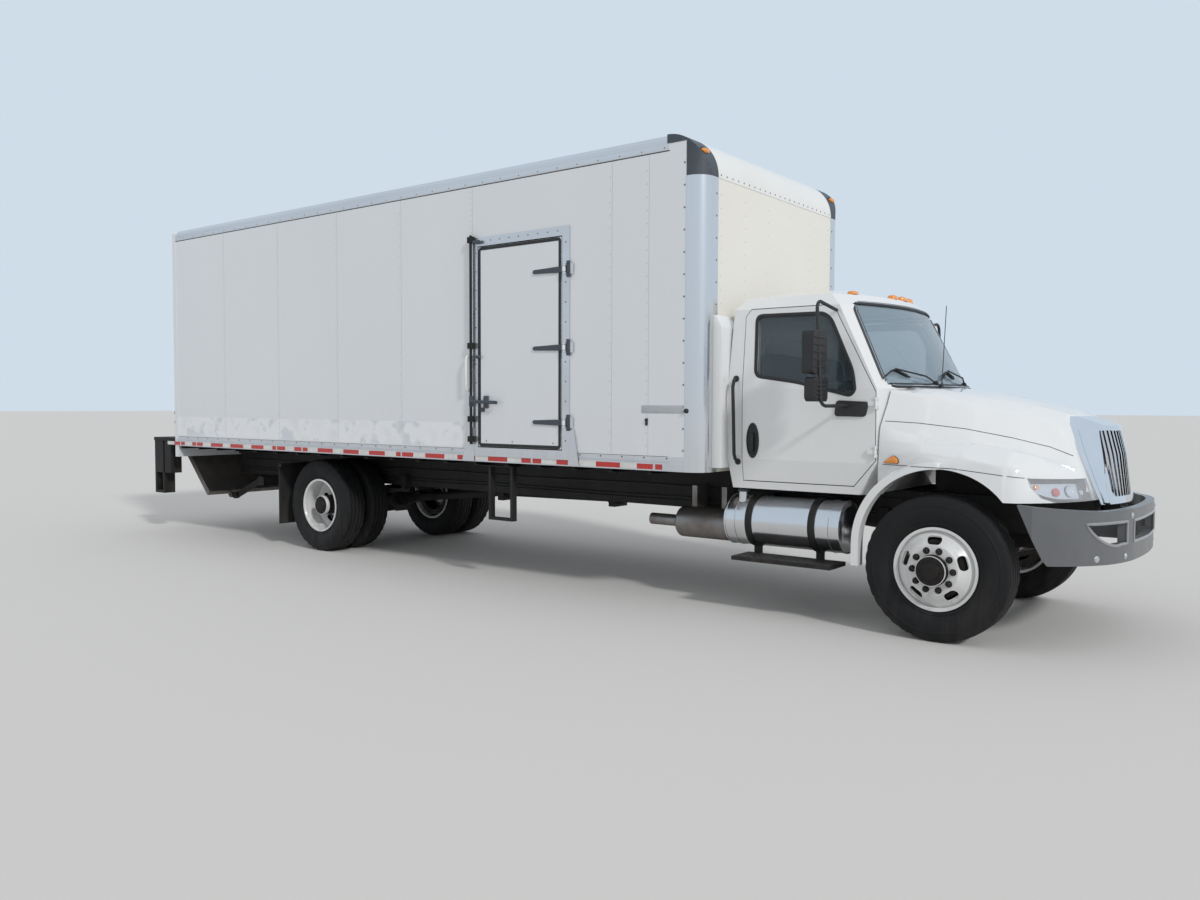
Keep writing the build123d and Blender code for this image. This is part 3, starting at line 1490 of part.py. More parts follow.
# Roof sheet on its bows
bow_pitch = 610.0
bow_depth = 32.0
bow_width = 40.0
roof_low_z = roof_top_z - roof_sheet - 8.0
with BuildPart() as roof:
    roof_half = body_half - 110.0
    block((rear_frame_x, nose_back_x), (-roof_half, roof_half), (roof_low_z, roof_top_z - 8.0))
    bow_count = int((nose_back_x - rear_frame_x - bow_width) // bow_pitch)
    for bow in range(bow_count + 1):
        bow_x = rear_frame_x + bow_width + bow * bow_pitch
        block((bow_x, bow_x + bow_width), (-roof_half, roof_half), (roof_low_z - bow_depth, roof_low_z))
save(roof, "roof")

# Floor deck fixed on its cross sills, these on two long sills along the frame
cross_sill_pitch = 405.0
cross_sill_flange = 66.0
cross_sill_web = 10.0
sill_top_z = floor_top_z - deck_thickness
sill_low_z = sill_top_z - sill_height
sill_half = body_half - 12.0
deck_half = body_half - 10.0 - seat_gap
with BuildPart() as cargo_floor:
    block((rear_frame_x, body_front_x - body_wall), (-deck_half, deck_half), (sill_top_z, floor_top_z))
    for side in (1, -1):
        block(
            (post_back_x, body_front_x),
            (side * (body_half - corner_radius), side * body_half),
            (sill_top_z, floor_top_z),
            mode=Mode.SUBTRACT,
        )
    first_x = rear_frame_x + 60.0
    last_x = post_back_x - 60.0
    sill_count = int((last_x - first_x) // cross_sill_pitch) + 1
    for sill in range(sill_count):
        sill_x = first_x + sill * cross_sill_pitch
        with BuildSketch(side_plane(sill_half)):
            with Locations((sill_x, (sill_low_z + sill_top_z) / 2)):
                Rectangle(cross_sill_web, sill_height)
            with Locations((sill_x, sill_top_z - 4.0), (sill_x, sill_low_z + 4.0)):
                Rectangle(cross_sill_flange, 8.0)
        extrude(amount=2 * sill_half)
    for side in (1, -1):
        block(
            (rear_frame_x, post_back_x),
            (side * (rail_face_y - rail_flange), side * rail_face_y),
            (rail_top_z, sill_low_z),
        )
save(cargo_floor, "cargo_floor")

# Rear frame: posts, header and sill round the roll-up door
post_inner_y = body_half - rear_post_width
header_low_z = roof_top_z - rear_header_height
with BuildPart() as rear_frame:
    with BuildSketch(cross_plane(body_back_x)) as frame_section:
        with Locations((0, (rear_sill_low_z + roof_top_z) / 2)):
            Rectangle(2 * body_half, roof_top_z - rear_sill_low_z)
        corners = frame_section.vertices().group_by(Axis.Y)[-1]
        fillet(corners, roof_edge_radius)
        with Locations((0, (floor_top_z + header_low_z) / 2)):
            Rectangle(2 * post_inner_y, header_low_z - floor_top_z, mode=Mode.SUBTRACT)
    extrude(amount=rear_frame_depth)
save(rear_frame, "rear_frame")

door_panels = 8
panel_thickness = 26.0
panel_gap = 3.0
roll_door_x = body_back_x + 28.0
with BuildPart() as roll_up_door:
    block(
        (roll_door_x, roll_door_x + panel_thickness),
        (-post_inner_y + seat_gap, post_inner_y - seat_gap),
        (floor_top_z + seat_gap, header_low_z - seat_gap),
    )
    panel_height = (header_low_z - floor_top_z) / door_panels
    for panel in range(1, door_panels):
        joint_z = floor_top_z + panel * panel_height
        block(
            (roll_door_x - 5.0, roll_door_x + 6.0),
            (-post_inner_y, post_inner_y),
            (joint_z - panel_gap, joint_z + panel_gap),
            mode=Mode.SUBTRACT,
        )
save(roll_up_door, "roll_up_door")

# Side door frame: a flange on the wall, a lining through it, three hinge butts
leaf_outer_y = -body_half - side_frame_proud
side_hinge_y = leaf_outer_y - side_hinge_out
hinge_pin_radius = 8.0
strap_length = 380.0
strap_height = 44.0
strap_thickness = 9.0
with BuildPart() as side_door_frame:
    with BuildSketch(side_plane(-body_half)):
        middle = (
            (side_opening_back_x + side_opening_front_x) / 2,
            (side_opening_low_z + side_opening_top_z) / 2,
        )
        wide = side_opening_front_x - side_opening_back_x
        high = side_opening_top_z - side_opening_low_z
        with Locations(middle):
            Rectangle(wide + 2 * side_frame_width, high + 2 * side_frame_width)
            Rectangle(wide, high, mode=Mode.SUBTRACT)
    extrude(amount=side_frame_proud)
    with BuildSketch(side_plane(-rail_inner_y)):
        with Locations(middle):
            Rectangle(wide + 2 * side_lining - 2 * seat_gap, high + 2 * side_lining - 2 * seat_gap)
            Rectangle(wide, high, mode=Mode.SUBTRACT)
    extrude(amount=body_half - rail_inner_y)
    for height in side_hinge_heights:
        block(
            (side_hinge_x + 10.0, side_hinge_x + 92.0),
            (leaf_outer_y - 8.0, leaf_outer_y),
            (height - 46.0, height + 46.0),
        )
        for low, high in ((-46.0, -27.0), (27.0, 46.0)):
            with BuildSketch(Plane.XY.offset(height + low)):
                with Locations((side_hinge_x, side_hinge_y)):
                    Circle(hinge_pin_radius + 7.0)
                with Locations((side_hinge_x + 12.0, side_hinge_y + side_hinge_out / 2 - 4.0)):
                    Rectangle(20.0, side_hinge_out - 2.0)
            extrude(amount=high - low)
        with BuildSketch(Plane.XY.offset(height - 46.0)):
            with Locations((side_hinge_x, side_hinge_y)):
                Circle(hinge_pin_radius)
        extrude(amount=92.0)
save(side_door_frame, "side_door_frame")

# Side door leaf with its strap hinges
with BuildPart() as side_door:
    block(
        (side_opening_back_x + leaf_gap, side_opening_front_x - leaf_gap),
        (leaf_outer_y, leaf_outer_y + leaf_thickness),
        (side_opening_low_z + leaf_gap, side_opening_top_z - leaf_gap),
    )
    for height in side_hinge_heights:
        block(
            (side_hinge_x - strap_length, side_hinge_x - 12.0),
            (leaf_outer_y - strap_thickness, leaf_outer_y),
            (height - strap_height / 2, height + strap_height / 2),
        )
        with BuildSketch(Plane.XY.offset(height - strap_height / 2)):
            with Locations((side_hinge_x, side_hinge_y)):
                Circle(hinge_pin_radius + 7.0)
            with Locations((side_hinge_x - 14.0, side_hinge_y + side_hinge_out / 2 - 1.0)):
                Rectangle(16.0, side_hinge_out + 2.0)
            with Locations((side_hinge_x, side_hinge_y)):
                Circle(hinge_pin_radius + running_gap, mode=Mode.SUBTRACT)
        extrude(amount=strap_height)
save(side_door, "side_door")

# Stirrup step below the side door, hung from two cross sills
stirrup_y = -1205.0
stirrup_back_x = front_axle_x - 4238.0
stirrup_front_x = front_axle_x - 3928.0
stirrup_low_z = 571.0
stirrup_bar = 30.0
with BuildPart() as stirrup:
    stirrup_top_z = sill_low_z - seat_gap
    y_ends = (stirrup_y - stirrup_bar, stirrup_y + stirrup_bar)
    for x_from in (stirrup_back_x, stirrup_front_x - stirrup_bar):
        block((x_from, x_from + stirrup_bar), y_ends, (stirrup_low_z, stirrup_top_z))
    block((stirrup_back_x, stirrup_front_x), y_ends, (stirrup_low_z, stirrup_low_z + 26.0))
    block(
        (stirrup_back_x - 150.0, stirrup_front_x + 20.0),
        (y_ends[0] - 20.0, y_ends[1] + 40.0),
        (stirrup_top_z - 10.0, stirrup_top_z),
    )
save(stirrup, "stirrup_step")

# Lock rod of the side door in its bearings on the frame's rear jamb
lock_rod_x = front_axle_x - 4380.0
lock_rod_radius = 13.0
lock_rod_y = -body_half - side_frame_proud - 24.0
lock_rod_low_z = 1290.0
lock_rod_top_z = 3267.0
lock_bearing_heights = (1340.0, 1531.0, 2227.0, 3225.0)
with BuildPart() as lock_rod:
    with BuildSketch(Plane.XY.offset(lock_rod_low_z)):
        with Locations((lock_rod_x, lock_rod_y)):
            Circle(lock_rod_radius)
    extrude(amount=lock_rod_top_z - lock_rod_low_z)
    for height in lock_bearing_heights:
        block(
            (lock_rod_x - 34.0, lock_rod_x + 34.0),
            (lock_rod_y - 14.0, -body_half - side_frame_proud - seat_gap),
            (height - 28.0, height + 28.0),
        )
save(lock_rod, "side_door_lock_rod")

# Mud flaps behind the rear wheels, hung on the frame's arms
with BuildPart() as mud_flaps:
    for side in (1, -1):
        block(
            (flap_x - seat_gap - 8.0, flap_x - seat_gap),
            (side * flap_inner_y, side * flap_outer_y),
            (260.0, flap_top_z),
        )
save(mud_flaps, "mud_flaps")

# Bed extension behind the rear frame, with a dock step hung below each end
extension_thickness = 45.0
extension_low_z = floor_top_z - extension_thickness
step_low_z = 490.0
step_plate_low_z = 760.0
step_length = 225.0
step_bar = 36.0
plate_length = 150.0
with BuildPart() as dock_steps:
    block((tail_x, body_back_x - seat_gap), (-body_half + 20.0, body_half - 20.0), (extension_low_z, floor_top_z))
    for side in (1, -1):
        y_ends = (side * (step_y - step_width / 2), side * (step_y + step_width / 2))
        for x_from, x_to in (
            (tail_x, tail_x + step_length - 20.0),
            (tail_x + step_length + 20.0, tail_x + step_length + 20.0 + plate_length),
        ):
            block((x_from, x_to), y_ends, (step_plate_low_z, extension_low_z))
        for x_from in (tail_x, tail_x + step_length - step_bar):
            block((x_from, x_from + step_bar), y_ends, (step_low_z, step_plate_low_z))
        block((tail_x, tail_x + step_length), y_ends, (step_low_z, step_low_z + step_bar))
save(dock_steps, "bed_extension_and_steps")

# Tail lift: frame below the rails, lifting arms, heels, folded platform
lift_boss = 46.0
with BuildPart() as lift_frame:
    block(
        (lift_pivot_x + 60.0, lift_pivot_x + 190.0),
        (-lift_arm_y - 120.0, lift_arm_y + 120.0),
        (lift_pivot_z - 70.0, rail_bottom_z - seat_gap),
    )
    for side in (1, -1):
        for y in (side * (lift_arm_y - 36.0), side * (lift_arm_y + 36.0)):
            with BuildSketch(side_plane(y + 8.0)):
                with Locations((lift_pivot_x, lift_pivot_z)):
                    Circle(lift_boss)
                with Locations((lift_pivot_x + 60.0, lift_pivot_z - 10.0)):
                    Rectangle(120.0, 70.0)
            extrude(amount=16.0)
        cross_rod(
            lift_pivot_x,
            lift_pivot_z,
            lift_pin_radius,
            (side * (lift_arm_y - 36.0), side * (lift_arm_y + 36.0)),
        )
save(lift_frame, "lift_frame")

arm_run = Vector(heel_pivot_x - lift_pivot_x, 0, heel_pivot_z - lift_pivot_z)
with BuildPart() as lift_arms:
    for side in (1, -1):
        y = side * lift_arm_y
        with BuildSketch(side_plane(y + lift_arm_width / 2)):
            with Locations((lift_pivot_x, lift_pivot_z), (heel_pivot_x, heel_pivot_z)):
                Circle(lift_boss - 4.0)
            with Locations(((lift_pivot_x + heel_pivot_x) / 2, (lift_pivot_z + heel_pivot_z) / 2)):
                Rectangle(
                    arm_run.length, 74.0, rotation=math.degrees(math.atan2(arm_run.Z, arm_run.X))
                )
            with Locations((lift_pivot_x, lift_pivot_z), (heel_pivot_x, heel_pivot_z)):
                Circle(lift_pin_radius + running_gap, mode=Mode.SUBTRACT)
        extrude(amount=lift_arm_width)
save(lift_arms, "lift_arms")

heel_rise = 70.0
platform_pivot_x = heel_pivot_x - 60.0
platform_pivot_z = heel_pivot_z + 6.0
platform_pin_radius = 14.0
with BuildPart() as lift_heels:
    for side in (1, -1):
        y = side * (lift_arm_y + lift_arm_width + 4.0)
        with BuildSketch(side_plane(y + lift_arm_width / 2)):
            with Locations((heel_pivot_x, heel_pivot_z)):
                Circle(lift_boss - 4.0)
            with Locations((platform_pivot_x, platform_pivot_z)):
                Circle(36.0)
            with Locations(((heel_pivot_x + platform_pivot_x) / 2, heel_pivot_z + 3.0)):
                Rectangle(60.0, 66.0)
        extrude(amount=lift_arm_width)
        cross_rod(
            heel_pivot_x,
            heel_pivot_z,
            lift_pin_radius,
            (side * (lift_arm_y - lift_arm_width / 2), y),
        )
        cross_rod(
            platform_pivot_x,
            platform_pivot_z,
            platform_pin_radius,
            (y, y + side * 45.0),
        )
save(lift_heels, "lift_heels")

lean = math.radians(platform_lean)
platform_plane = Plane(
    origin=(platform_pivot_x, 0, platform_pivot_z),
    x_dir=(0, 1, 0),
    z_dir=(-math.cos(lean), 0, math.sin(lean)),
)
with BuildPart() as lift_platform:
    with BuildSketch(platform_plane.offset(50.0)):
        with Locations((0, -platform_plate / 2), (0, platform_plate / 2 + 3.0)):
            Rectangle(2 * platform_half, platform_plate)
        with Locations((0, 1.5)):
            Rectangle(2 * platform_half - 40.0, 8.0)
    extrude(amount=platform_length)
    for side in (1, -1):
        y = side * (lift_arm_y + lift_arm_width * 1.5 + 8.0 + 12.0)
        with BuildSketch(side_plane(y + 10.0)):
            with Locations((platform_pivot_x, platform_pivot_z)):
                Circle(34.0)
            with Locations(
                (platform_pivot_x - 45.0 * math.cos(lean), platform_pivot_z + 45.0 * math.sin(lean))
            ):
                Rectangle(90.0, 60.0, rotation=180.0 - platform_lean)
            with Locations((platform_pivot_x, platform_pivot_z)):
                Circle(platform_pin_radius + running_gap, mode=Mode.SUBTRACT)
        extrude(amount=20.0)
save(lift_platform, "lift_platform")
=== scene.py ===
# %% [markdown]
# The box truck comes in as a finished frame of solids. Everything below dresses those
# solids: finishes first, then the small things that no solid needs, such as rivets,
# tread, lamp lenses and wipers. All sizes are metres, +X forward, +Y left, +Z up.
# Places along the truck are given from the front axle wherever a helper takes them.

import json
import math
import random

import bmesh
import bpy
from mathutils import Matrix, Vector
from mathutils.bvhtree import BVHTree
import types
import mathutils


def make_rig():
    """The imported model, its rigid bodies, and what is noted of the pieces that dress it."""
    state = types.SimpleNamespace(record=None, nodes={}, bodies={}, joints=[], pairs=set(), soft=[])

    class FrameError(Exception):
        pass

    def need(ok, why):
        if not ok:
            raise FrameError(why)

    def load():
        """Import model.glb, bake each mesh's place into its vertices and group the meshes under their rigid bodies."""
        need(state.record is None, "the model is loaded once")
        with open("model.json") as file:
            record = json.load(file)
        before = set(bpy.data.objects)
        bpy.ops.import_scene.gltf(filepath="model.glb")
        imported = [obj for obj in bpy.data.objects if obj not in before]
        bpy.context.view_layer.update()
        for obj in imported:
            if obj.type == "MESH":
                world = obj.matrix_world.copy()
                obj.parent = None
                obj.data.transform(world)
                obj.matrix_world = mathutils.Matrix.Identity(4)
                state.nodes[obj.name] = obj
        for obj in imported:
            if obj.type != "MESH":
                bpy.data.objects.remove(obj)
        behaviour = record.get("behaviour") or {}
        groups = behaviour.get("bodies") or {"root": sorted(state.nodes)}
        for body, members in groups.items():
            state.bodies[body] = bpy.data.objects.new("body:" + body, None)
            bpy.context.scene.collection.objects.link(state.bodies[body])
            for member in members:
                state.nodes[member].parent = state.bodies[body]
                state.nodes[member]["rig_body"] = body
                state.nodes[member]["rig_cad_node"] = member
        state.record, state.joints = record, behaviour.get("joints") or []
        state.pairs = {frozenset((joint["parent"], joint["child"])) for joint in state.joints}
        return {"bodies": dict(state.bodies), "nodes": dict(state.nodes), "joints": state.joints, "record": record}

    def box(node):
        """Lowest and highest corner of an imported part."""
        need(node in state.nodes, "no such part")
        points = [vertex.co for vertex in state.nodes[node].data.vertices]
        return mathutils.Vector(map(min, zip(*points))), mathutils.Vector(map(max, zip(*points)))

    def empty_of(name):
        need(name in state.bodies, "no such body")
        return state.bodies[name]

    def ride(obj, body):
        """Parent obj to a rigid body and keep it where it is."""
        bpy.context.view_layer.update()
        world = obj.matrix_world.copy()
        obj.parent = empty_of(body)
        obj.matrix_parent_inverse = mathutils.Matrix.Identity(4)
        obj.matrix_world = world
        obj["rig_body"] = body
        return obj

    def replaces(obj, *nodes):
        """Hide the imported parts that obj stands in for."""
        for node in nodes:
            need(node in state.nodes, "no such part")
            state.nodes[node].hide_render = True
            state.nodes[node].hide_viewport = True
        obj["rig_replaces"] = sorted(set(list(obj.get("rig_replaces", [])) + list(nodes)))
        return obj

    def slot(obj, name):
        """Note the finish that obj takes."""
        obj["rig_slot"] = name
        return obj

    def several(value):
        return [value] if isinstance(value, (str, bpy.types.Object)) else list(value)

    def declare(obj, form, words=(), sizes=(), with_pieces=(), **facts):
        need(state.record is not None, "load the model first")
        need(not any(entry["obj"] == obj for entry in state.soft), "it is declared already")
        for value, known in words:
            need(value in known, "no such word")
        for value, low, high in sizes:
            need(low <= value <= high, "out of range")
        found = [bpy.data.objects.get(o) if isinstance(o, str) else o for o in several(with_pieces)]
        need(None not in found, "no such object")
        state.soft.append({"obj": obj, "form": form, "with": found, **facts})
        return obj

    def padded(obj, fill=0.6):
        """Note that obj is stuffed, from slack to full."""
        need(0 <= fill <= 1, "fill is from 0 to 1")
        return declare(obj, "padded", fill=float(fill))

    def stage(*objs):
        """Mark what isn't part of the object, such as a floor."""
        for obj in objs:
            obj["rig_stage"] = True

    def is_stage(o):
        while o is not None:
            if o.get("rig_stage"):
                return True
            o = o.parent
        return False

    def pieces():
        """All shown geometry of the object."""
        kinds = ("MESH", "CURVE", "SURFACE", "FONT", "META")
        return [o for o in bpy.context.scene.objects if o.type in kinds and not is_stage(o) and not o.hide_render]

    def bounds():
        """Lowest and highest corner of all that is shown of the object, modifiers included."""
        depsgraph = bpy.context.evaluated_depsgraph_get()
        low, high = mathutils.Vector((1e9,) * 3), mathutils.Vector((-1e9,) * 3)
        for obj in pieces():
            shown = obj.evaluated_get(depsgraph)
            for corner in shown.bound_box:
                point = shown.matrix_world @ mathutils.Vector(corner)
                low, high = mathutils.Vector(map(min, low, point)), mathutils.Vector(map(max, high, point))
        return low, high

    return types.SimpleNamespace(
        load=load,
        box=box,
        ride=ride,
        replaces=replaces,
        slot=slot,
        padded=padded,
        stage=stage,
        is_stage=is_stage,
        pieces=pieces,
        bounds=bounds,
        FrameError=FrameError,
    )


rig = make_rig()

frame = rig.load()
nodes = frame["nodes"]
low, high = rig.bounds()
solid_size = [list(low), list(high)]
front_axle_x = 4.59
wheelbase = 6.985
rear_axle_x = front_axle_x - wheelbase
print("solids", len(nodes), "from", [round(v, 3) for v in low], "to", [round(v, 3) for v in high])

# %% [markdown]
# A finish is more than one colour. Road dirt gathers low down, gloss varies from
# place to place, and metal has fine lines. Small helpers build such a finish from
# noise that is worked out in the object's own space, so it needs no picture and no
# unwrapping: a base colour, a second colour that the noise mixes in, a grime colour
# that fades out with height, chips, a band of peeled paint, and a little bump.


# %% Helpers that build a finish
def socket(node, name, value):
    """Set a shader socket's constant."""
    node.inputs[name].default_value = value


def scaled(tree, vector, scale):
    """A vector stretched along its axes."""
    mapping = tree.nodes.new("ShaderNodeMapping")
    socket(mapping, "Scale", scale)
    tree.links.new(vector, mapping.inputs["Vector"])
    return mapping.outputs["Vector"]


def noise(tree, vector, scale, detail):
    """Cloudy noise from 0 to 1."""
    cloud = tree.nodes.new("ShaderNodeTexNoise")
    socket(cloud, "Scale", scale)
    socket(cloud, "Detail", detail)
    tree.links.new(vector, cloud.inputs["Vector"])
    return cloud.outputs["Fac"]


def ranged(tree, value, none_at, full_at, least=0.0, most=1.0):
    """A value that runs from least to most between two levels of another."""
    spread = tree.nodes.new("ShaderNodeMapRange")
    socket(spread, "From Min", none_at)
    socket(spread, "From Max", full_at)
    socket(spread, "To Min", least)
    socket(spread, "To Max", most)
    tree.links.new(value, spread.inputs["Value"])
    return spread.outputs["Result"]


def product(tree, one, other):
    """One value times another value or a plain number."""
    times = tree.nodes.new("ShaderNodeMath")
    times.operation = "MULTIPLY"
    tree.links.new(one, times.inputs[0])
    if isinstance(other, float):
        times.inputs[1].default_value = other
    else:
        tree.links.new(other, times.inputs[1])
    return times.outputs["Value"]


def mixed(tree, first, second, factor):
    """A colour, plain or made, that gives way to a plain one as the factor rises."""
    blend = tree.nodes.new("ShaderNodeMix")
    blend.data_type = "RGBA"
    if isinstance(first, tuple):
        blend.inputs["A"].default_value = (*first, 1)
    else:
        tree.links.new(first, blend.inputs["A"])
    blend.inputs["B"].default_value = (*second, 1)
    tree.links.new(factor, blend.inputs["Factor"])
    return blend.outputs["Result"]


peel_tones = (((0.85, 0.87, 0.89), 0.3, 0.45), ((0.5, 0.54, 0.6), 0.52, 0.6))


def finish(
    name,
    colour,
    second,
    share=0.5,
    scale=3.0,
    stretch=(1, 1, 1),
    metallic=0.0,
    rough=(0.3, 0.4),
    coat=0.0,
    grime=0.0,
    grime_top=1.3,
    grime_colour=(0.09, 0.075, 0.06),
    bump=0.0,
    bump_scale=60.0,
    chips=0.0,
    chip_colour=(0.12, 0.1, 0.085),
    band=None,
):
    """A procedural finish in object space."""
    mat = bpy.data.materials.new(name)
    mat.use_nodes = True
    tree = mat.node_tree
    link = tree.links.new
    shader = tree.nodes["Principled BSDF"]
    here = tree.nodes.new("ShaderNodeTexCoord").outputs["Object"]
    parts = tree.nodes.new("ShaderNodeSeparateXYZ")
    link(here, parts.inputs["Vector"])
    stretched = scaled(tree, here, stretch)
    cloud = noise(tree, stretched, scale, 5.0)
    paint = mixed(tree, colour, second, ranged(tree, cloud, 0.35, 0.75, 0.0, share))
    if grime:
        fade = ranged(tree, parts.outputs["Z"], 0.3, grime_top, 1.0, 0.0)
        streaks = noise(tree, scaled(tree, here, (9.0, 9.0, 1.6)), 1.5, 6.0)
        dirt = product(tree, fade, ranged(tree, streaks, 0.4, 0.7))
        paint = mixed(tree, paint, grime_colour, product(tree, dirt, grime))
    if chips:
        spots = noise(tree, here, 38.0, 8.0)
        paint = mixed(tree, paint, chip_colour, ranged(tree, spots, 0.74 - chips, 0.76 - chips))
    if band:
        low_z, high_z, end_x = band
        blotches = noise(tree, here, 4.5, 6.0)
        mask = product(
            tree,
            ranged(tree, parts.outputs["Z"], low_z, low_z + 0.012),
            ranged(tree, parts.outputs["Z"], high_z + 0.012, high_z),
        )
        mask = product(tree, mask, ranged(tree, parts.outputs["X"], end_x + 0.03, end_x))
        for tone, none_at, full_at in peel_tones:
            level = ranged(tree, blotches, none_at, full_at, 0.0, 0.55)
            paint = mixed(tree, paint, tone, product(tree, mask, level))
    link(paint, shader.inputs["Base Color"])
    link(ranged(tree, cloud, 0.3, 0.7, *rough), shader.inputs["Roughness"])
    socket(shader, "Metallic", metallic)
    socket(shader, "Coat Weight", coat)
    socket(shader, "Coat Roughness", 0.08)
    if bump:
        relief = tree.nodes.new("ShaderNodeBump")
        socket(relief, "Strength", bump)
        socket(relief, "Distance", 0.002)
        link(noise(tree, stretched, bump_scale, 3.0), relief.inputs["Height"])
        link(relief.outputs["Normal"], shader.inputs["Normal"])
    return mat


def lens(name, colour, rough=0.05, alpha=0.35):
    """A thin see-through piece: a tinted clear coat over what lies behind."""
    mat = bpy.data.materials.new(name)
    mat.use_nodes = True
    shader = mat.node_tree.nodes["Principled BSDF"]
    socket(shader, "Base Color", (*colour, 1))
    socket(shader, "Roughness", rough)
    socket(shader, "Alpha", alpha)
    socket(shader, "Coat Weight", 1.0)
    socket(shader, "Coat Roughness", 0.03)
    mat.blend_method = "BLEND"
    return mat


# %% [markdown]
# The finishes follow the real truck: white enamel on the cab, white sheet on the
# body's sides, with a band of peeled paint along the foot of the right one, white
# sheet at its front with a cream tint that is painted warm sunlight, bright rails and
# posts, a slate finish on the corner caps and strap hinges, flat black chassis paint,
# grey on the bumper.

# %% Painted and plain sheet
white_enamel = finish(
    "white_enamel", (0.76, 0.77, 0.77), (0.7, 0.71, 0.71), 0.5, 1.1, rough=(0.14, 0.24), coat=0.6,
    grime=0.16, grime_top=1.25, grime_colour=(0.3, 0.27, 0.23), bump=0.03, bump_scale=5.0,
)
sheet_look = dict(
    colour=(0.73, 0.75, 0.77), second=(0.68, 0.7, 0.72), scale=0.8, stretch=(1, 1, 0.4),
    rough=(0.12, 0.22), coat=0.45, grime=0.12, grime_top=1.9, grime_colour=(0.42, 0.42, 0.42),
    bump=0.04, bump_scale=1.6,
)
white_sheet = finish("white_sheet", **sheet_look)
peeled_sheet = finish("peeled_sheet", band=(1.256, 1.492, 0.06), **sheet_look)
# The front wall is white sheet; its cream tint is painted warm sunlight.
cream_sheet = finish(
    "cream_sheet", (0.78, 0.76, 0.69), (0.72, 0.7, 0.63), 0.5, 1.0, rough=(0.28, 0.4),
    grime=0.15, grime_top=3.0, grime_colour=(0.45, 0.42, 0.36), bump=0.03, bump_scale=4.0,
)
# Mid grey: the colour of the sheet joints, and on the white seam rivets painted shade round each head.
seam_grey = finish(
    "seam_grey", (0.42, 0.44, 0.46), (0.5, 0.52, 0.54), 0.6, 20.0, rough=(0.35, 0.5), bump=0.05
)
white_moulding = finish(
    "white_moulding", (0.78, 0.78, 0.75), (0.7, 0.7, 0.68), 0.5, 1.6, rough=(0.2, 0.34), coat=0.3,
    bump=0.03, bump_scale=5.0,
)
bumper_grey = finish(
    "bumper_grey", (0.12, 0.125, 0.132), (0.16, 0.165, 0.172), 0.5, 2.0, rough=(0.3, 0.45),
    coat=0.15, grime=0.2, grime_top=0.95, grime_colour=(0.2, 0.19, 0.18), bump=0.05,
    bump_scale=120.0,
)
lip_grey = finish(
    "lip_grey", (0.26, 0.265, 0.27), (0.33, 0.335, 0.34), 0.5, 3.0, rough=(0.25, 0.4), coat=0.3,
    bump=0.04, bump_scale=120.0,
)
slate_coat = finish(
    "slate_coat", (0.045, 0.055, 0.07), (0.075, 0.085, 0.1), 0.7, 6.0, rough=(0.4, 0.6), bump=0.1,
    chips=0.04, chip_colour=(0.3, 0.3, 0.3),
)
chassis_black = finish(
    "chassis_black", (0.012, 0.012, 0.012), (0.028, 0.026, 0.024), 0.7, 4.0, rough=(0.5, 0.75),
    grime=0.3, grime_top=1.3, bump=0.25, chips=0.02,
)
wheel_white = finish(
    "wheel_white", (0.72, 0.73, 0.73), (0.6, 0.59, 0.57), 0.5, 4.0, rough=(0.25, 0.42), coat=0.2,
    grime=0.35, grime_top=1.0, grime_colour=(0.2, 0.16, 0.13), bump=0.08,
)
tape_look = dict(
    scale=12.0, rough=(0.25, 0.4), coat=0.3, grime=0.35, grime_top=1.3, bump=0.05
)
red_tape = finish("red_tape", (0.52, 0.025, 0.02), (0.38, 0.03, 0.025), 0.6, **tape_look)
white_tape = finish("white_tape", (0.72, 0.72, 0.70), (0.55, 0.54, 0.5), 0.7, **tape_look)
print("paints", len(bpy.data.materials))

# %% Metals
bright_rail = finish(
    "bright_rail", (0.7, 0.71, 0.73), (0.6, 0.61, 0.63), 0.5, 3.0, (0.15, 2, 2), metallic=0.92,
    rough=(0.24, 0.36), grime=0.2, grime_top=1.5, bump=0.05, bump_scale=30.0,
)
bright_post = finish(
    "bright_post", (0.74, 0.75, 0.77), (0.66, 0.67, 0.69), 0.5, 2.0, (3, 3, 0.12), metallic=0.95,
    rough=(0.16, 0.26), grime=0.15, grime_top=1.6, bump=0.03, bump_scale=20.0,
)
# Dark grey on rivet heads of bright metal: painted shade round each head, so the rows show as dots.
rivet_grey = finish(
    "rivet_grey", (0.13, 0.135, 0.14), (0.2, 0.2, 0.205), 0.6, 20.0, metallic=0.5,
    rough=(0.35, 0.5), bump=0.05,
)
cast_metal = finish(
    "cast_metal", (0.022, 0.021, 0.02), (0.045, 0.036, 0.03), 0.7, 7.0, metallic=0.3,
    rough=(0.55, 0.8), grime=0.3, grime_top=1.1, bump=0.4,
)
tank_metal = finish(
    "tank_metal", (0.72, 0.73, 0.75), (0.6, 0.61, 0.62), 0.5, 2.0, (0.3, 2, 2), metallic=1.0,
    rough=(0.14, 0.26), grime=0.25, grime_top=0.75, bump=0.05,
)
bare_steel = finish(
    "bare_steel", (0.3, 0.29, 0.28), (0.18, 0.13, 0.1), 0.8, 5.0, metallic=0.8, rough=(0.35, 0.6),
    grime=0.4, grime_top=1.2, bump=0.2,
)
bright_chrome = finish(
    "bright_chrome", (0.78, 0.8, 0.83), (0.7, 0.72, 0.75), 0.5, 6.0, metallic=1.0, rough=(0.05, 0.1)
)
mirror_silver = finish(
    "mirror_silver", (0.82, 0.84, 0.86), (0.74, 0.76, 0.79), metallic=1.0, rough=(0.03, 0.07)
)
hub_black = finish(
    "hub_black", (0.012, 0.011, 0.011), (0.035, 0.026, 0.02), 0.6, 12.0, metallic=0.2,
    rough=(0.45, 0.7), bump=0.35,
)

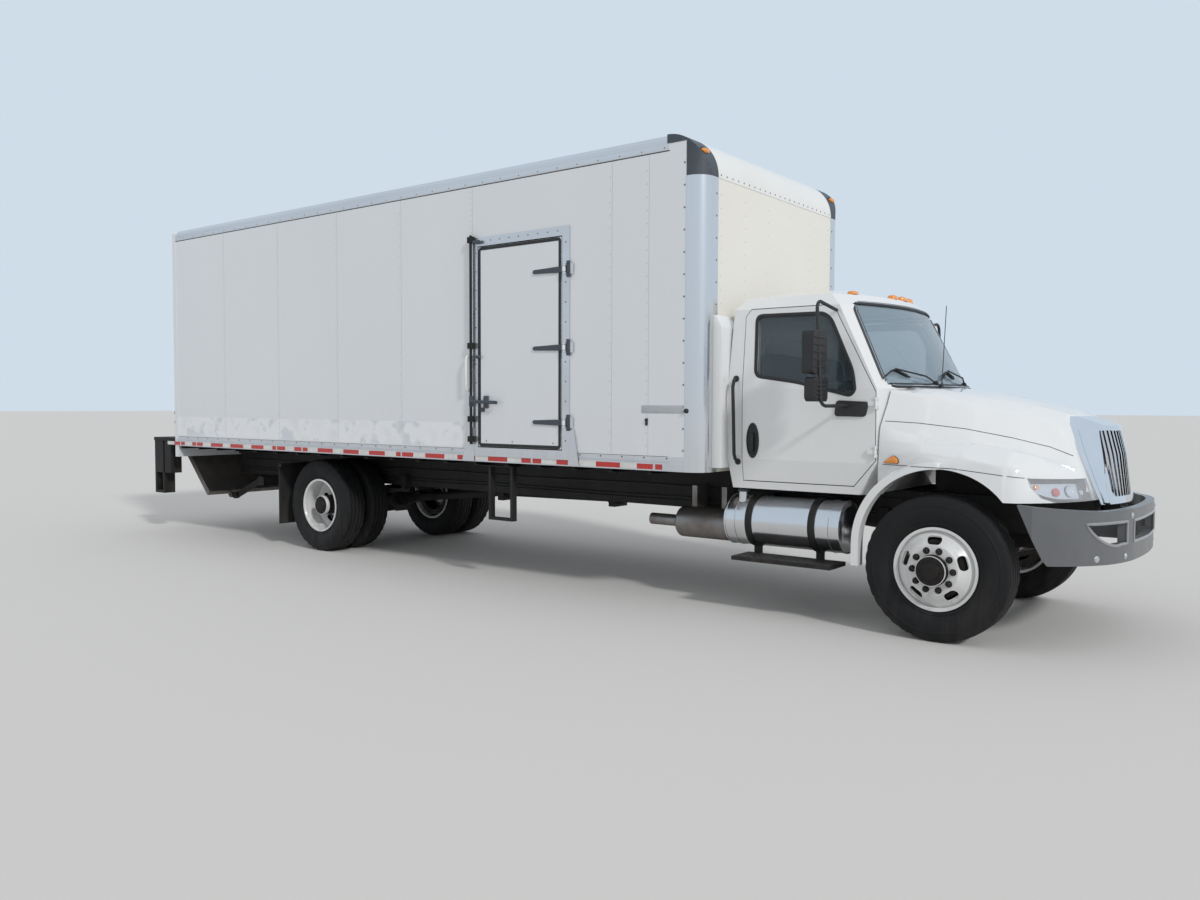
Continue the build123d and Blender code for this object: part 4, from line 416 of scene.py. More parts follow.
# %% Rubber, plastic, cloth and lenses
tyre_rubber = finish(
    "tyre_rubber", (0.007, 0.007, 0.008), (0.014, 0.0135, 0.013), 0.7, 9.0, rough=(0.6, 0.8),
    grime=0.25, grime_top=0.7, grime_colour=(0.07, 0.062, 0.055), bump=0.3, bump_scale=150.0,
)
flap_rubber = finish(
    "flap_rubber", (0.018, 0.018, 0.018), (0.04, 0.038, 0.035), 0.7, 6.0, (2, 2, 0.5),
    rough=(0.6, 0.8), grime=0.35, grime_top=0.9, bump=0.25,
)
soft_black = finish(
    "soft_black", (0.014, 0.014, 0.015), (0.028, 0.028, 0.03), 0.6, 9.0, rough=(0.45, 0.62),
    bump=0.2, bump_scale=200.0,
)
cab_trim = finish(
    "cab_trim", (0.1, 0.105, 0.115), (0.14, 0.145, 0.155), 0.6, 9.0, rough=(0.6, 0.75), bump=0.2,
    bump_scale=220.0,
)
seat_cloth = finish(
    "seat_cloth", (0.07, 0.075, 0.09), (0.11, 0.115, 0.13), 0.7, 30.0, rough=(0.85, 0.95),
    bump=0.5, bump_scale=320.0,
)
for coat in (tyre_rubber, chassis_black, flap_rubber, hub_black):
    socket(coat.node_tree.nodes["Principled BSDF"], "Specular IOR Level", 0.3)
window_glass = lens("window_glass", (0.05, 0.075, 0.085), 0.02, 0.4)
# The windscreen's pale blue colour is a painted reflection of the sky on its glass.
windscreen_glass = lens("windscreen_glass", (0.3, 0.4, 0.47), 0.02, 0.5)
lamp_clear = lens("lamp_clear", (0.8, 0.82, 0.84), 0.05, 0.3)
amber = lens("amber", (0.9, 0.3, 0.02), 0.12, 0.92)
red_lens = lens("red_lens", (0.55, 0.02, 0.015), 0.12, 0.95)
print("finishes", len(bpy.data.materials))

# %% [markdown]
# Each solid gets its finish from a short table. A solid that isn't named keeps the
# chassis paint, which is right for most of what hangs below the body.

# %% Which solid wears which finish
worn_by = {
    white_enamel: "cab_shell cab_door_left cab_door_right hood",
    peeled_sheet: "right_wall",
    white_sheet: "left_wall side_door roll_up_door rear_frame",
    cream_sheet: "front_wall",
    bright_rail: "side_rails roof side_door_frame",
    bright_post: "corner_posts",
    white_moulding: "roof_nose",
    slate_coat: "corner_caps",
    bumper_grey: "front_bumper",
    tank_metal: "fuel_tank",
    bare_steel: "exhaust lift_platform",
    bright_chrome: "grille",
    tyre_rubber: "tyre_front_left tyre_front_right tyres_rear_left tyres_rear_right",
    wheel_white: "wheel_front_left wheel_front_right wheels_rear_left wheels_rear_right",
    cast_metal: "front_axle rear_axle knuckle_left knuckle_right tie_rod"
    " engine_and_radiator drive_line leaf_springs",
    soft_black: "mirror_left mirror_right",
    cab_trim: "dashboard",
    seat_cloth: "seats",
    flap_rubber: "mud_flaps",
    amber: "roof_lamps",
    window_glass: "door_glass_left door_glass_right",
    windscreen_glass: "cab_glass",
    lamp_clear: "headlamps",
}
finish_of = {name: coat for coat, names in worn_by.items() for name in names.split()}
for name, solid in nodes.items():
    solid.data.materials.clear()
    solid.data.materials.append(finish_of.get(name, chassis_black))
print("dressed", len(finish_of), "of", len(nodes))

# %% [markdown]
# Most small pieces of the truck are made in the same few ways: a turned form such as
# a tyre or a lamp, a rubber or a bar that runs along a path, a pressed block with soft
# edges, a shell between two grids of points, and a rivet head. A ray finds the truck's
# own skin, so that each piece sits on what carries it.


# %% Helpers that make forms
def add_piece(name, form, coat, body, slot, crease=35.0):
    """Turn a finished bmesh into a named piece that rides on a body."""
    bmesh.ops.recalc_face_normals(form, faces=form.faces)
    skin = bpy.data.meshes.new(name)
    form.to_mesh(skin)
    form.free()
    skin.materials.append(coat)
    skin.polygons.foreach_set("use_smooth", [True] * len(skin.polygons))
    skin.set_sharp_from_angle(angle=math.radians(crease))
    made = bpy.data.objects.new(name, skin)
    bpy.context.scene.collection.objects.link(made)
    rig.ride(made, body)
    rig.slot(made, slot)
    return made


def at(x, y, z):
    """A place, with x measured from the front axle."""
    return Vector((front_axle_x + x, y, z))


def full_turn(count, start=0.0):
    """Evenly spread angles of one turn."""
    return [2 * math.pi * (k + start) / count for k in range(count)]


def join_rings(form, rings, closed=False):
    """Skin a list of rings of points; a run that isn't closed gets its ends capped."""
    rows = [[form.verts.new(p) for p in ring] for ring in rings]
    count = len(rows[0])
    for i in range(len(rows) if closed else len(rows) - 1):
        near, far = rows[i], rows[(i + 1) % len(rows)]
        for k in range(count):
            form.faces.new((near[k], near[(k + 1) % count], far[(k + 1) % count], far[k]))
    if not closed:
        form.faces.new(rows[0])
        form.faces.new(list(reversed(rows[-1])))


def shell(form, upper, lower):
    """A closed form between two grids of points that match each other."""
    tops = [[form.verts.new(p) for p in row] for row in upper]
    lows = [[form.verts.new(p) for p in row] for row in lower]
    m, n = len(tops) - 1, len(tops[0]) - 1
    for i in range(m):
        for k in range(n):
            for grid in (tops, lows):
                form.faces.new((grid[i][k], grid[i + 1][k], grid[i + 1][k + 1], grid[i][k + 1]))
    rim = [(i, 0) for i in range(m)] + [(m, k) for k in range(n)]
    rim += [(m - i, n) for i in range(m)] + [(0, n - k) for k in range(n)]
    for (a, b), (c, d) in zip(rim, rim[1:] + rim[:1]):
        form.faces.new((tops[a][b], tops[c][d], lows[c][d], lows[a][b]))


def sweep(form, path, out, width, height, closed=False, sides=8):
    """A bar or rubber of oval section along a path; out is the way its height points."""
    path = [Vector(p) for p in path]
    count = len(path)
    outs = [Vector(v) for v in out] if isinstance(out, list) else [Vector(out)] * count
    rings = []
    for i, p in enumerate(path):
        after = path[(i + 1) % count] if closed or i < count - 1 else p
        before = path[i - 1] if closed or i > 0 else p
        along = (after - before).normalized()
        across = along.cross(outs[i]).normalized()
        up = across.cross(along).normalized()
        half_wide, half_high = across * width / 2, up * height / 2
        turns = full_turn(sides, 0.5)
        rings.append([p + half_wide * math.cos(a) + half_high * math.sin(a) for a in turns])
    join_rings(form, rings, closed)


smallest_radius = 0.0004


def turned(form, profile, centre, axis, count=32, closed=False):
    """Turn a profile of (radius, place along the axis) about an axis."""
    axis = Vector(axis).normalized()
    one = axis.orthogonal().normalized()
    two = axis.cross(one)
    rings = []
    for radius, along in profile:
        base = Vector(centre) + axis * along
        r = max(radius, smallest_radius)
        turns = full_turn(count)
        rings.append([base + one * r * math.cos(a) + two * r * math.sin(a) for a in turns])
    join_rings(form, rings, closed)


def pressed(form, corner, opposite, edge=0.004, steps=2):
    """A block with rounded edges between two opposite corners."""
    spans = [sorted(pair) for pair in zip(corner, opposite)]
    made = bmesh.ops.create_cube(form, size=1.0)["verts"]
    for v in made:
        v.co = Vector([spans[i][0] if v.co[i] < 0 else spans[i][1] for i in range(3)])
    edges = {e for v in made for e in v.link_edges}
    bmesh.ops.bevel(
        form, geom=list(edges), offset=edge, segments=steps, affect="EDGES", profile=0.5
    )


def rivet(form, place, out, radius=0.009):
    """One domed rivet head."""
    shape = [(1.0, -0.001), (1.0, 0.001), (0.7, radius * 0.42), (0.2, radius * 0.55)]
    turned(form, [(radius * share, rise) for share, rise in shape], place, out, 8)


# %% Helpers that find a place on the solids
skins = {}


def touch(names, start, way):
    """Where a ray first meets one of the named solids: the place, and the way out of it."""
    best = None
    for name in names.split():
        if name not in skins:
            mesh = nodes[name].data
            points = [v.co for v in mesh.vertices]
            skins[name] = BVHTree.FromPolygons(points, [p.vertices for p in mesh.polygons])
        place, normal, _, reach = skins[name].ray_cast(Vector(start), Vector(way))
        if place is not None and (best is None or reach < best[2]):
            best = (place, -normal if normal.dot(Vector(way)) > 0 else normal, reach)
    if best is None:
        raise ValueError("nothing of " + names + " lies there: " + str(tuple(start)))
    return best[0], best[1]


def at_side(names, side, x, z):
    """A place on the truck's side, found from outside."""
    return touch(names, at(x, side * 2.0, z), (0, -side, 0))


def at_front(names, y, z):
    """A place on a forward face, found from ahead."""
    return touch(names, at(3.0, y, z), (-1, 0, 0))


def at_rear(names, y, z):
    """A place on a rearward face, found from behind."""
    return touch(names, at(-14.0, y, z), (1, 0, 0))


def rounded(corners, radius, steps=5):
    """A closed outline with its corners rounded off."""
    outline = []
    count = len(corners)
    for i, corner in enumerate(corners):
        here = Vector(corner)
        before = Vector(corners[i - 1]) - here
        after = Vector(corners[(i + 1) % count]) - here
        reach = min(radius, before.length * 0.45, after.length * 0.45)
        start = here + before.normalized() * reach
        end = here + after.normalized() * reach
        for k in range(steps + 1):
            t = k / steps
            outline.append(start * (1 - t) ** 2 + here * 2 * t * (1 - t) + end * t * t)
    return outline


def densely(path, step, closed=False):
    """The same path with points added on its long runs."""
    path = [Vector(p) for p in path]
    full = []
    last = len(path) if closed else len(path) - 1
    for i in range(last):
        a, b = path[i], path[(i + 1) % len(path)]
        parts = max(1, round((b - a).length / step))
        full += [a.lerp(b, k / parts) for k in range(parts)]
    return full if closed else full + [path[-1]]


def boss(form, names, side, outline, centre, steps):
    """A low moulding on the truck's side: an outline shrunk and lifted in steps."""
    rings = []
    for scale, lift in steps:
        ring = []
        for p in outline:
            q = centre + (p - centre) * scale
            place, out = at_side(names, side, q.x, q.y)
            ring.append(place + Vector((0, side * lift, 0)))
        rings.append(ring)
    join_rings(form, rings)


sides = ((1, "left"), (-1, "right"))
print("helpers ready")

# %% [markdown]
# A truck tyre shows its age and use in its tread, so the plain ring that the solid
# model has is replaced. The section runs from bead to bead: a bulged sidewall with a
# few moulded rings, a hard shoulder, and five ribs between four deep grooves. The
# grooves wander from side to side and the shoulders are cut across, as on a real
# tyre. Turning one section and shifting its points does all of that in few faces.

# %% Tyres with tread
tyre_radius = 0.52
tyre_half = 0.1395
front_tyre_y = 1.015
groove_depth = 0.015
groove_half = 0.0055
groove_places = (-0.072, -0.026, 0.026, 0.072)
tyre_steps = 108
shoulder_from = 0.485
# Radius and distance from the tyre's middle plane, from the bead outwards.
wall_points = (
    (0.2885, 0.088), (0.2995, 0.1035), (0.304, 0.1095), (0.316, 0.1135), (0.320, 0.1175),
    (0.327, 0.1185), (0.331, 0.1155), (0.356, 0.128), (0.385, 0.1365), (0.409, 0.1395),
    (0.428, 0.1388), (0.446, 0.1362), (0.449, 0.138), (0.456, 0.1366), (0.459, 0.1332),
    (0.480, 0.1275), (0.497, 0.1205), (0.506, 0.1165), (0.5135, 0.1105), (0.517, 0.098),
)


def tyre_section():
    """One tyre section, bead to bead: radius, place across, and what the point is."""
    wall = [(r, y, "shoulder" if r > shoulder_from else "wall") for r, y in wall_points]
    points = [(r, -y, kind) for r, y, kind in wall]
    for place in groove_places:
        crown = tyre_radius - 0.0022 * (place / 0.1) ** 2 - 0.0003
        floor = crown - groove_depth
        points.append((crown, place - groove_half - 0.001, "rib"))
        points.append((floor, place - groove_half + 0.002, "rib"))
        points.append((floor, place + groove_half - 0.002, "rib"))
        points.append((crown, place + groove_half + 0.001, "rib"))
    return points + wall[::-1]


def add_tyre(form, axle_x, middle_y, lug_depth):
    """One tyre about its axle; driven tyres have deeper cuts in the shoulder."""
    rings = []
    for radius, across, kind in tyre_section():
        ring = []
        for k, angle in enumerate(full_turn(tyre_steps)):
            r, y = radius, across
            if kind == "rib":
                y += 0.0028 * (1 if (k // 2) % 2 else -1)
            if kind == "shoulder" and k % 3 == 0 and radius > 0.5:
                r -= lug_depth
            x, z = axle_x + r * math.cos(angle), tyre_radius + r * math.sin(angle)
            ring.append((x, middle_y + y, z))
        rings.append(ring)
    join_rings(form, rings, closed=True)


for side, name in sides:
    form = bmesh.new()
    add_tyre(form, front_axle_x, side * front_tyre_y, 0.005)
    front_tyre = add_piece(
        "tyre_front_" + name + "_tread", form, tyre_rubber, "wheel_front_" + name, "tyre", 30.0
    )
    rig.replaces(front_tyre, "tyre_front_" + name)
    pair_low, pair_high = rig.box("tyres_rear_" + name)
    form = bmesh.new()
    for middle_y in (pair_low[1] + tyre_half, pair_high[1] - tyre_half):
        add_tyre(form, rear_axle_x, middle_y, 0.009)
    rear_tyres = add_piece(
        "tyres_rear_" + name + "_tread", form, tyre_rubber, "wheels_rear_" + name, "tyre", 30.0
    )
    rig.replaces(rear_tyres, "tyres_rear_" + name)
    print("tyres", name, len(front_tyre.data.polygons), len(rear_tyres.data.polygons))

# %% [markdown]
# The photograph shows white discs with dark nuts round a dark hub. The solids have
# these in one piece with the disc, so each nut gets a dark cap that just covers it
# and the hub gets its own cover, found by looking along the axle.

# %% Wheel nuts and hubs
nut_circle = 0.1429
nut_count = 10
cover_bolt_circle = 0.084


def wheel_face(node, side, axle_x, radius, angle):
    """A place on a wheel's outer face."""
    x, z = axle_x + radius * math.cos(angle), tyre_radius + radius * math.sin(angle)
    return touch(node, (x, side * 2.0, z), (0, -side, 0))[0]


for side, name in sides:
    wheels = (("wheel_front_" + name, front_axle_x, 12), ("wheels_rear_" + name, rear_axle_x, 6))
    for node, axle_x, cap_sides in wheels:
        form = bmesh.new()
        for angle in full_turn(nut_count, 0.5):
            spots = [
                wheel_face(node, side, axle_x, nut_circle, a)
                for a in (angle, angle + math.pi / nut_count)
            ]
            face, nut_top = sorted(spots, key=lambda p: side * p.y)
            high = side * (nut_top.y - face.y)
            base = Vector((nut_top.x, face.y, nut_top.z))
            cap = [(0.0245, 0.0005), (0.0245, 0.004), (0.0188, 0.0045), (0.0188, high - 0.004)]
            cap += [(0.015, high + 0.002), (0.006, high + 0.003)]
            turned(form, cap, base, (0, side, 0), cap_sides)
        add_piece(node + "_nuts", form, hub_black, node, "iron")
        hub_end = wheel_face(node, side, axle_x, 0.03, 0.0)
        disc = wheel_face(node, side, axle_x, 0.118, 0.3)
        reach = side * (hub_end.y - disc.y)
        form = bmesh.new()
        cover = [(0.112, 0.0006), (0.112, 0.006), (0.1085, 0.009), (0.1085, reach * 0.8)]
        cover += [(0.1, reach + 0.003), (0.066, reach + 0.006), (0.062, reach + 0.014)]
        cover += [(0.04, reach + 0.017), (0.0, reach + 0.018)]
        turned(form, cover, (axle_x, disc.y, tyre_radius), (0, side, 0), 40)
        for a in full_turn(8):
            x = axle_x + cover_bolt_circle * math.cos(a)
            z = tyre_radius + cover_bolt_circle * math.sin(a)
            bolt = [(0.009, -0.002), (0.009, 0.007), (0.004, 0.008)]
            turned(form, bolt, (x, disc.y + side * (reach + 0.0045), z), (0, side, 0), 6)
        add_piece(node + "_hub", form, hub_black, node, "iron")
        print(node, "nut height", round(high, 3), "hub reach", round(reach, 3))

# %% [markdown]
# Through the hand holes of each wheel the real truck shows its dark brake drum, not the
# bright inside of the rim. A drum is a cup that hangs on the hub, with a wider band at
# its open end. On the rear axle it stands inboard of both wheels of the pair.

# %% Brake drums behind the wheels
for side, name in sides:
    for axle_x, body, mouth, web in (
        (front_axle_x, "wheel_front_" + name, 0.905, 1.118),
        (rear_axle_x, "wheels_rear_" + name, 0.600, 0.745),
    ):
        band = mouth + 0.016
        drum = [(0.158, web), (0.206, web), (0.214, web - 0.012), (0.214, band), (0.248, band)]
        drum += [(0.248, mouth), (0.190, mouth), (0.190, web - 0.018), (0.158, web - 0.018)]
        form = bmesh.new()
        turned(form, drum, (axle_x, 0, tyre_radius), (0, side, 0), 64, closed=True)
        add_piece("brake_drum_" + body, form, chassis_black, body, "iron")
print("four brake drums")

# %% [markdown]
# The real hood is one large moulding whose faces flow into each other. The solid
# below it is skinned between a few outlines, so its faces meet at faint creases. A
# copy of that skin has its doubled points merged, so that its shading can run on
# across the creases, and only true edges stay sharp. It then stands for the solid.

# %% The hood's moulding
form = bmesh.new()
form.from_mesh(nodes["hood"].data)
bmesh.ops.remove_doubles(form, verts=form.verts, dist=0.0003)
bmesh.ops.dissolve_limit(
    form, angle_limit=math.radians(0.4), verts=form.verts, edges=form.edges
)
bmesh.ops.triangulate(form, faces=form.faces)
hood_moulding = add_piece("hood_moulding", form, white_enamel, "hood", "white_paint", 38.0)
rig.replaces(hood_moulding, "hood")
print("hood moulding", len(hood_moulding.data.polygons), "triangles")

# %% [markdown]
# The van body is sheet on posts, and what says so is its rows of rivets: up both
# edges of each polished corner post, along the bottom rail, under the roof rail, up
# the seams of the side sheets and across the front wall. Each head is a small dome
# that a ray sets down on the skin, so a row follows whatever it is fixed to.

# %% Rivets of the van body
body_names = (
    "right_wall left_wall side_rails corner_posts front_wall roof roof_nose rear_frame"
    " corner_caps side_door_frame"
)
post_pitch = 0.178
rail_pitch = 0.228
seam_pitch = 0.108
lap_seam = -4.406
seam_places = (-8.62, -7.52, -6.45, -5.42, lap_seam, -2.751, -2.371)


def over_door(side, x):
    """Whether a place lies in the side door's span."""
    return side < 0 and -4.5 < x < -3.1


heads = bmesh.new()
for side, name in sides:
    post_rows = [(-2.005, 1.30 + k * post_pitch) for k in range(14)]
    rail_row = [(-2.16 - k * rail_pitch, 1.232) for k in range(33)]
    for x, z in post_rows + [s for s in rail_row if not over_door(side, s[0])]:
        rivet(heads, *at_side(body_names, side, x, z), 0.008)
    for k in range(33):
        rivet(heads, *at_side(body_names, side, -2.2 - k * rail_pitch, 3.757), 0.0085)
print("post and rail rivets", len(heads.faces))
# These heads are bright aluminium; their dark grey is painted shade round each head.
add_piece("body_rivets_bright", heads, rivet_grey, "chassis", "polished_aluminium")

heads = bmesh.new()
for side, name in sides:
    for x in seam_places:
        z = 3.3 if over_door(side, x) else 1.33
        while z < 3.68:
            rivet(heads, *at_side(body_names, side, x, z), 0.0048)
            z += seam_pitch / 2 if x == lap_seam else seam_pitch
for y in (-1.02, -0.62, -0.21, 0.21, 0.62, 1.02):
    for k in range(17):
        rivet(heads, *at_front("front_wall", y, 1.62 + k * 0.11), 0.0048)
print("seam rivets", len(heads.faces))
# The seam rivets are white paint; their grey is painted shade round each head.
add_piece("body_rivets_white", heads, seam_grey, "chassis", "white_paint")

heads = bmesh.new()
for side, name in sides:
    for k in range(12):
        z = 1.42 + k * post_pitch
        rivet(heads, *at_front("corner_posts front_wall", side * 1.098, z), 0.008)
for k in range(23):
    rivet(heads, *at_front("front_wall roof_nose", -1.03 + k * 0.0936, 3.535), 0.0075)
# Dark grey heads here too: painted shade round each rivet.
add_piece("front_edge_rivets", heads, rivet_grey, "chassis", "polished_aluminium")

# %% [markdown]
# Between the rivet rows the side is smooth painted sheet, and only fine joints show:
# an upright one beside each row of seam rivets. A thin dark bead under the roof rail,
# and one over the bottom rail, stand for the sealant there. Two pressed ribs run the
# length of the bottom rail, and a flange closes the roof rail above the bead.

# %% Sheet joints, sealant and rail ribs
walls = "left_wall right_wall"
form = bmesh.new()
for side, name in sides:
    for z, tall in ((3.729, 0.009), (1.2465, 0.004)):
        y = at_side(walls + " roof side_rails", side, -6.0, z)[0].y
        sweep(form, [at(-9.75, y, z), at(-2.15, y, z)], (0, side, 0), tall, 0.003, sides=6)
add_piece("body_sealant", form, soft_black, "chassis", "rubber")
form = bmesh.new()
for side, name in sides:
    for seam in seam_places:
        x, low_z = seam + 0.02, 3.24 if over_door(side, seam) else 1.26
        y = at_side(walls, side, x, 3.4)[0].y
        sweep(form, [at(x, y, low_z), at(x, y, 3.72)], (0, side, 0), 0.004, 0.0016, sides=6)
add_piece("sheet_joints", form, seam_grey, "chassis", "white_paint")
form = bmesh.new()
rail_y = abs(at_side("side_rails", 1, -6.0, 1.18)[0].y)
for side, name in sides:
    for z in (1.196, 1.208):
        line = [at(-9.74, side * rail_y, z), at(-2.13, side * rail_y, z)]
        sweep(form, line, (0, side, 0), 0.005, 0.006)
    foot_y = side * (rail_y + 0.004)
    pressed(form, at(-9.76, side * rail_y, 1.126), at(-2.12, foot_y, 1.1315), 0.0012)
for side, name in sides:
    wall_y = abs(at_side(walls, side, -6.0, 3.5)[0].y)
    flange_y = side * (wall_y + 0.003)
    pressed(form, at(-9.76, side * wall_y, 3.735), at(-2.16, flange_y, 3.789), 0.001)
add_piece("rail_ribs", form, bright_rail, "chassis", "polished_aluminium")
print("rail face at", round(rail_y, 4))

# %% [markdown]
# Marking tape in red and white blocks runs along both bottom rails. It is laid as
# thin strips, each a little short or long, as tape that was cut by hand would be.

# %% Marking tape
tape_low_z = 1.1365
tape_high_z = 1.1805
tape_back = rail_y + 0.0003
tape_face = tape_back + 0.001
cutter = random.Random(26)
red_form, white_form = bmesh.new(), bmesh.new()
for side, name in sides:
    x = front_axle_x - 2.2
    while x > front_axle_x - 9.7:
        red_length = 0.262 + cutter.uniform(-0.02, 0.015)
        white_length = 0.178 + cutter.uniform(-0.012, 0.01)
        for strip, length in ((red_form, red_length), (white_form, white_length)):
            near, far = x - 0.003, x - length
            spans = ((near, far),)
            if cutter.random() < 0.3 and strip is red_form:
                split = near - length * cutter.uniform(0.3, 0.7)
                spans = ((near, split + 0.012), (split - 0.012, far))
            for a, b in spans:
                foot, top = (b, side * tape_back, tape_low_z), (a, side * tape_face, tape_high_z)
                pressed(strip, foot, top, 0.0003, 1)
            x -= length
add_piece("marking_tape_red", red_form, red_tape, "chassis", "lens")
add_piece("marking_tape_white", white_form, white_tape, "chassis", "lens")
print("tape strips laid")

# %% [markdown]
# The side door hangs in a riveted aluminium frame. A black rubber runs round the leaf,
# three strap hinges cross to the front jamb, and a lock rod with a handle stands at
# the rear jamb beside a white grab bar. The leaf's own pieces ride with the leaf.

# %% Side door: rubber, frame rivets, lock gear
door_face_y = at_side("side_door", -1, -3.8, 2.0)[0].y
jamb_face_y = at_side("side_door_frame", -1, -4.35, 2.6)[0].y
strap_z = (1.511, 2.176, 2.862)
outward = (0, -1, 0)
print("leaf face", round(door_face_y, 4), "jamb face", round(jamb_face_y, 4))
leaf_outline = [(-4.286, 1.288), (-3.298, 1.288), (-3.298, 3.134), (-4.286, 3.134)]
path = [at(p.x, door_face_y - 0.0005, p.y) for p in rounded(leaf_outline, 0.02, 3)]
form = bmesh.new()
sweep(form, path, outward, 0.032, 0.008, closed=True)
add_piece("side_door_rubber", form, soft_black, "side_door", "rubber")

form = bmesh.new()
for k in range(11):
    for x in (-4.335, -3.232):
        z = 1.35 + 0.175 * k
        if x < -4 or all(abs(z - strap) >= 0.09 for strap in strap_z):
            rivet(form, *at_side("side_door_frame", -1, x, z), 0.0075)
for k in range(9):
    rivet(form, *at_side("side_door_frame", -1, -4.26 + 0.117 * k, 3.205), 0.007)
for k in (0, 2, 5):
    rivet(form, *at_side("side_door", -1, -4.2 + 0.165 * k, 1.325), 0.007)
print("frame rivets", len(form.faces))
# The frame's rivet heads are dark grey as painted shade round each head.
add_piece("side_door_frame_rivets", form, rivet_grey, "chassis", "steel")

form = bmesh.new()
rod_x = front_axle_x - 4.38
rod_y = jamb_face_y - 0.024
turned(form, [(0.019, -0.05), (0.019, 0.05)], (rod_x, rod_y, 1.7), (0, 0, 1), 20)
lever = ((0.0, 0.016, 1.7), (0.10, 0.03, 1.695), (0.3, 0.03, 1.69), (0.36, 0.022, 1.688))
lever = [(rod_x + x, rod_y - off, z) for x, off, z in lever]
sweep(form, lever, outward, 0.034, 0.014, sides=10)
# Each block: from and to behind the rod, from and to off the leaf, heights, edge.
for x, to_x, off, to_off, z, to_z, edge in (
    (0.17, 0.215, 0.034, 0.001, 1.635, 1.752, 0.006),
    (0.10, 0.16, 0.012, 0.0005, 1.60, 1.64, 0.004),
):
    foot, top = (rod_x + x, door_face_y - off, z), (rod_x + to_x, door_face_y - to_off, to_z)
    pressed(form, foot, top, edge)
for z in (2.12, 3.20):
    foot = (rod_x + 0.03, rod_y - 0.012, z - 0.014)
    pressed(form, foot, (rod_x + 0.125, rod_y + 0.006, z + 0.014))
add_piece("side_door_lock_gear", form, slate_coat, "chassis", "steel")

# %% Side door: grab bar and gussets
form = bmesh.new()
bar_x = front_axle_x - 4.425
wall_y = at_side("right_wall side_door_frame", -1, -4.425, 2.0)[0].y
bar = ((0.002, 2.13), (0.04, 2.125), (0.055, 2.10), (0.055, 1.83), (0.04, 1.805), (0.002, 1.80))
sweep(form, [(bar_x, wall_y - off, z) for off, z in bar], (1, 0, 0), 0.026, 0.026, sides=10)
for z in (2.145, 1.785):
    foot = (bar_x - 0.022, wall_y - 0.008, z - 0.03)
    pressed(form, foot, (bar_x + 0.022, wall_y, z + 0.03), 0.003)
add_piece("side_grab_bar", form, white_enamel, "chassis", "white_paint")

form = bmesh.new()
gusset_low, gusset_high = 1.13, 1.45
for x_from, x_to, top_from, top_to in (
    (-4.52, -4.36, -4.43, -4.365),
    (-3.20, -3.075, -3.19, -3.135),
):
    corners = [(x_from, gusset_low), (x_to, gusset_low), (top_to, gusset_high)]
    corners.append((top_from, gusset_high))
    carrier = "right_wall side_rails side_door_frame"
    outer = min(at_side(carrier, -1, x, max(z, 1.14))[0].y for x, z in corners)
    join_rings(form, [[at(x, outer - off, z) for x, z in corners] for off in (0.0002, 0.005)])
    for k in range(4):
        for share in (0.28, 0.72):
            x = x_from + (x_to - x_from) * share
            rivet(form, at(x, outer - 0.005, 1.15 + 0.08 * k), outward, 0.0065)
add_piece("side_door_gussets", form, bright_rail, "chassis", "polished_aluminium")
print("side door dressed")

# %% [markdown]
# Each strap hinge of the side door is a slate bar that tapers to a round end, with a
# barrel at the jamb and a tall plate beside it. The solids carry the bars and butts;
# these thin covers give them their colour and their tapered outline.

# %% Strap hinge covers
form, plates = bmesh.new(), bmesh.new()
hinge_x = -3.236
bar_half = [(0.0, 0.026), (-0.10, 0.026), (-0.30, 0.020), (-0.352, 0.019)]
round_end = [
    (-0.352 - 0.022 * math.sin(a), 0.019 * math.cos(a)) for a in (0.5, 1.0, 1.57, 2.14, 2.64)
]
strap = bar_half + round_end + [(x, -half) for x, half in reversed(bar_half)]
for z in strap_z:
    leaf_y = at_side("side_door", -1, hinge_x - 0.2, z)[0].y
    ring = [at(hinge_x + x, leaf_y - 0.0025, z + h) for x, h in strap]
    join_rings(form, [ring, [p + Vector((0, 0.0035, 0)) for p in ring]])
    barrel = [(0.0005, -0.03), (0.018, -0.03), (0.018, 0.03), (0.0005, 0.03)]
    turned(form, barrel, at(hinge_x, leaf_y + 0.003, z), (0, 0, 1), 16)
    butt_y = at_side("side_door_frame", -1, hinge_x + 0.05, z)[0].y
    foot = at(hinge_x + 0.020, butt_y - 0.004, z - 0.072)
    pressed(plates, foot, at(hinge_x + 0.062, butt_y + 0.001, z + 0.072), 0.0015)
    for dz in (-0.05, 0.05):
        rivet(plates, at(hinge_x + 0.041, butt_y - 0.0045, z + dz), outward, 0.007)
add_piece("door_strap_covers", form, slate_coat, "side_door", "slate_paint")
add_piece("door_butt_covers", plates, slate_coat, "chassis", "slate_paint")
print("strap hinges", len(strap_z))

# %% [markdown]
# Low on the right side there is a bright slotted vent strip near the front corner,
# with a dark stop next to it and a small fitting below. The far side gets none.

# %% Vent strip and fittings
wall_y = at_side("right_wall", -1, -2.2, 1.6)[0].y
strip_x, strip_z = -2.416, 1.603
form = bmesh.new()
foot = at(strip_x, wall_y - 0.003, strip_z)
pressed(form, foot, at(-1.998, wall_y - 0.0002, 1.668), 0.001)
add_piece("vent_strip_back", form, seam_grey, "chassis", "polished_aluminium")
form = bmesh.new()
for k in range(34):
    for j in range(5):
        x = strip_x + 0.006 + k * 0.0121 + (0.006 if j % 2 else 0)
        z = strip_z + 0.006 + j * 0.0118
        foot = at(x, wall_y - 0.005, z)
        pressed(form, foot, at(x + 0.0055, wall_y - 0.0028, z + 0.0055), 0.001, 1)
add_piece("vent_strip", form, bright_rail, "chassis", "polished_aluminium")
form = bmesh.new()
stop = [(0.02, -0.001), (0.02, 0.012), (0.014, 0.022), (0.0, 0.024)]
turned(form, stop, at(-1.972, wall_y, 1.623), outward, 20)
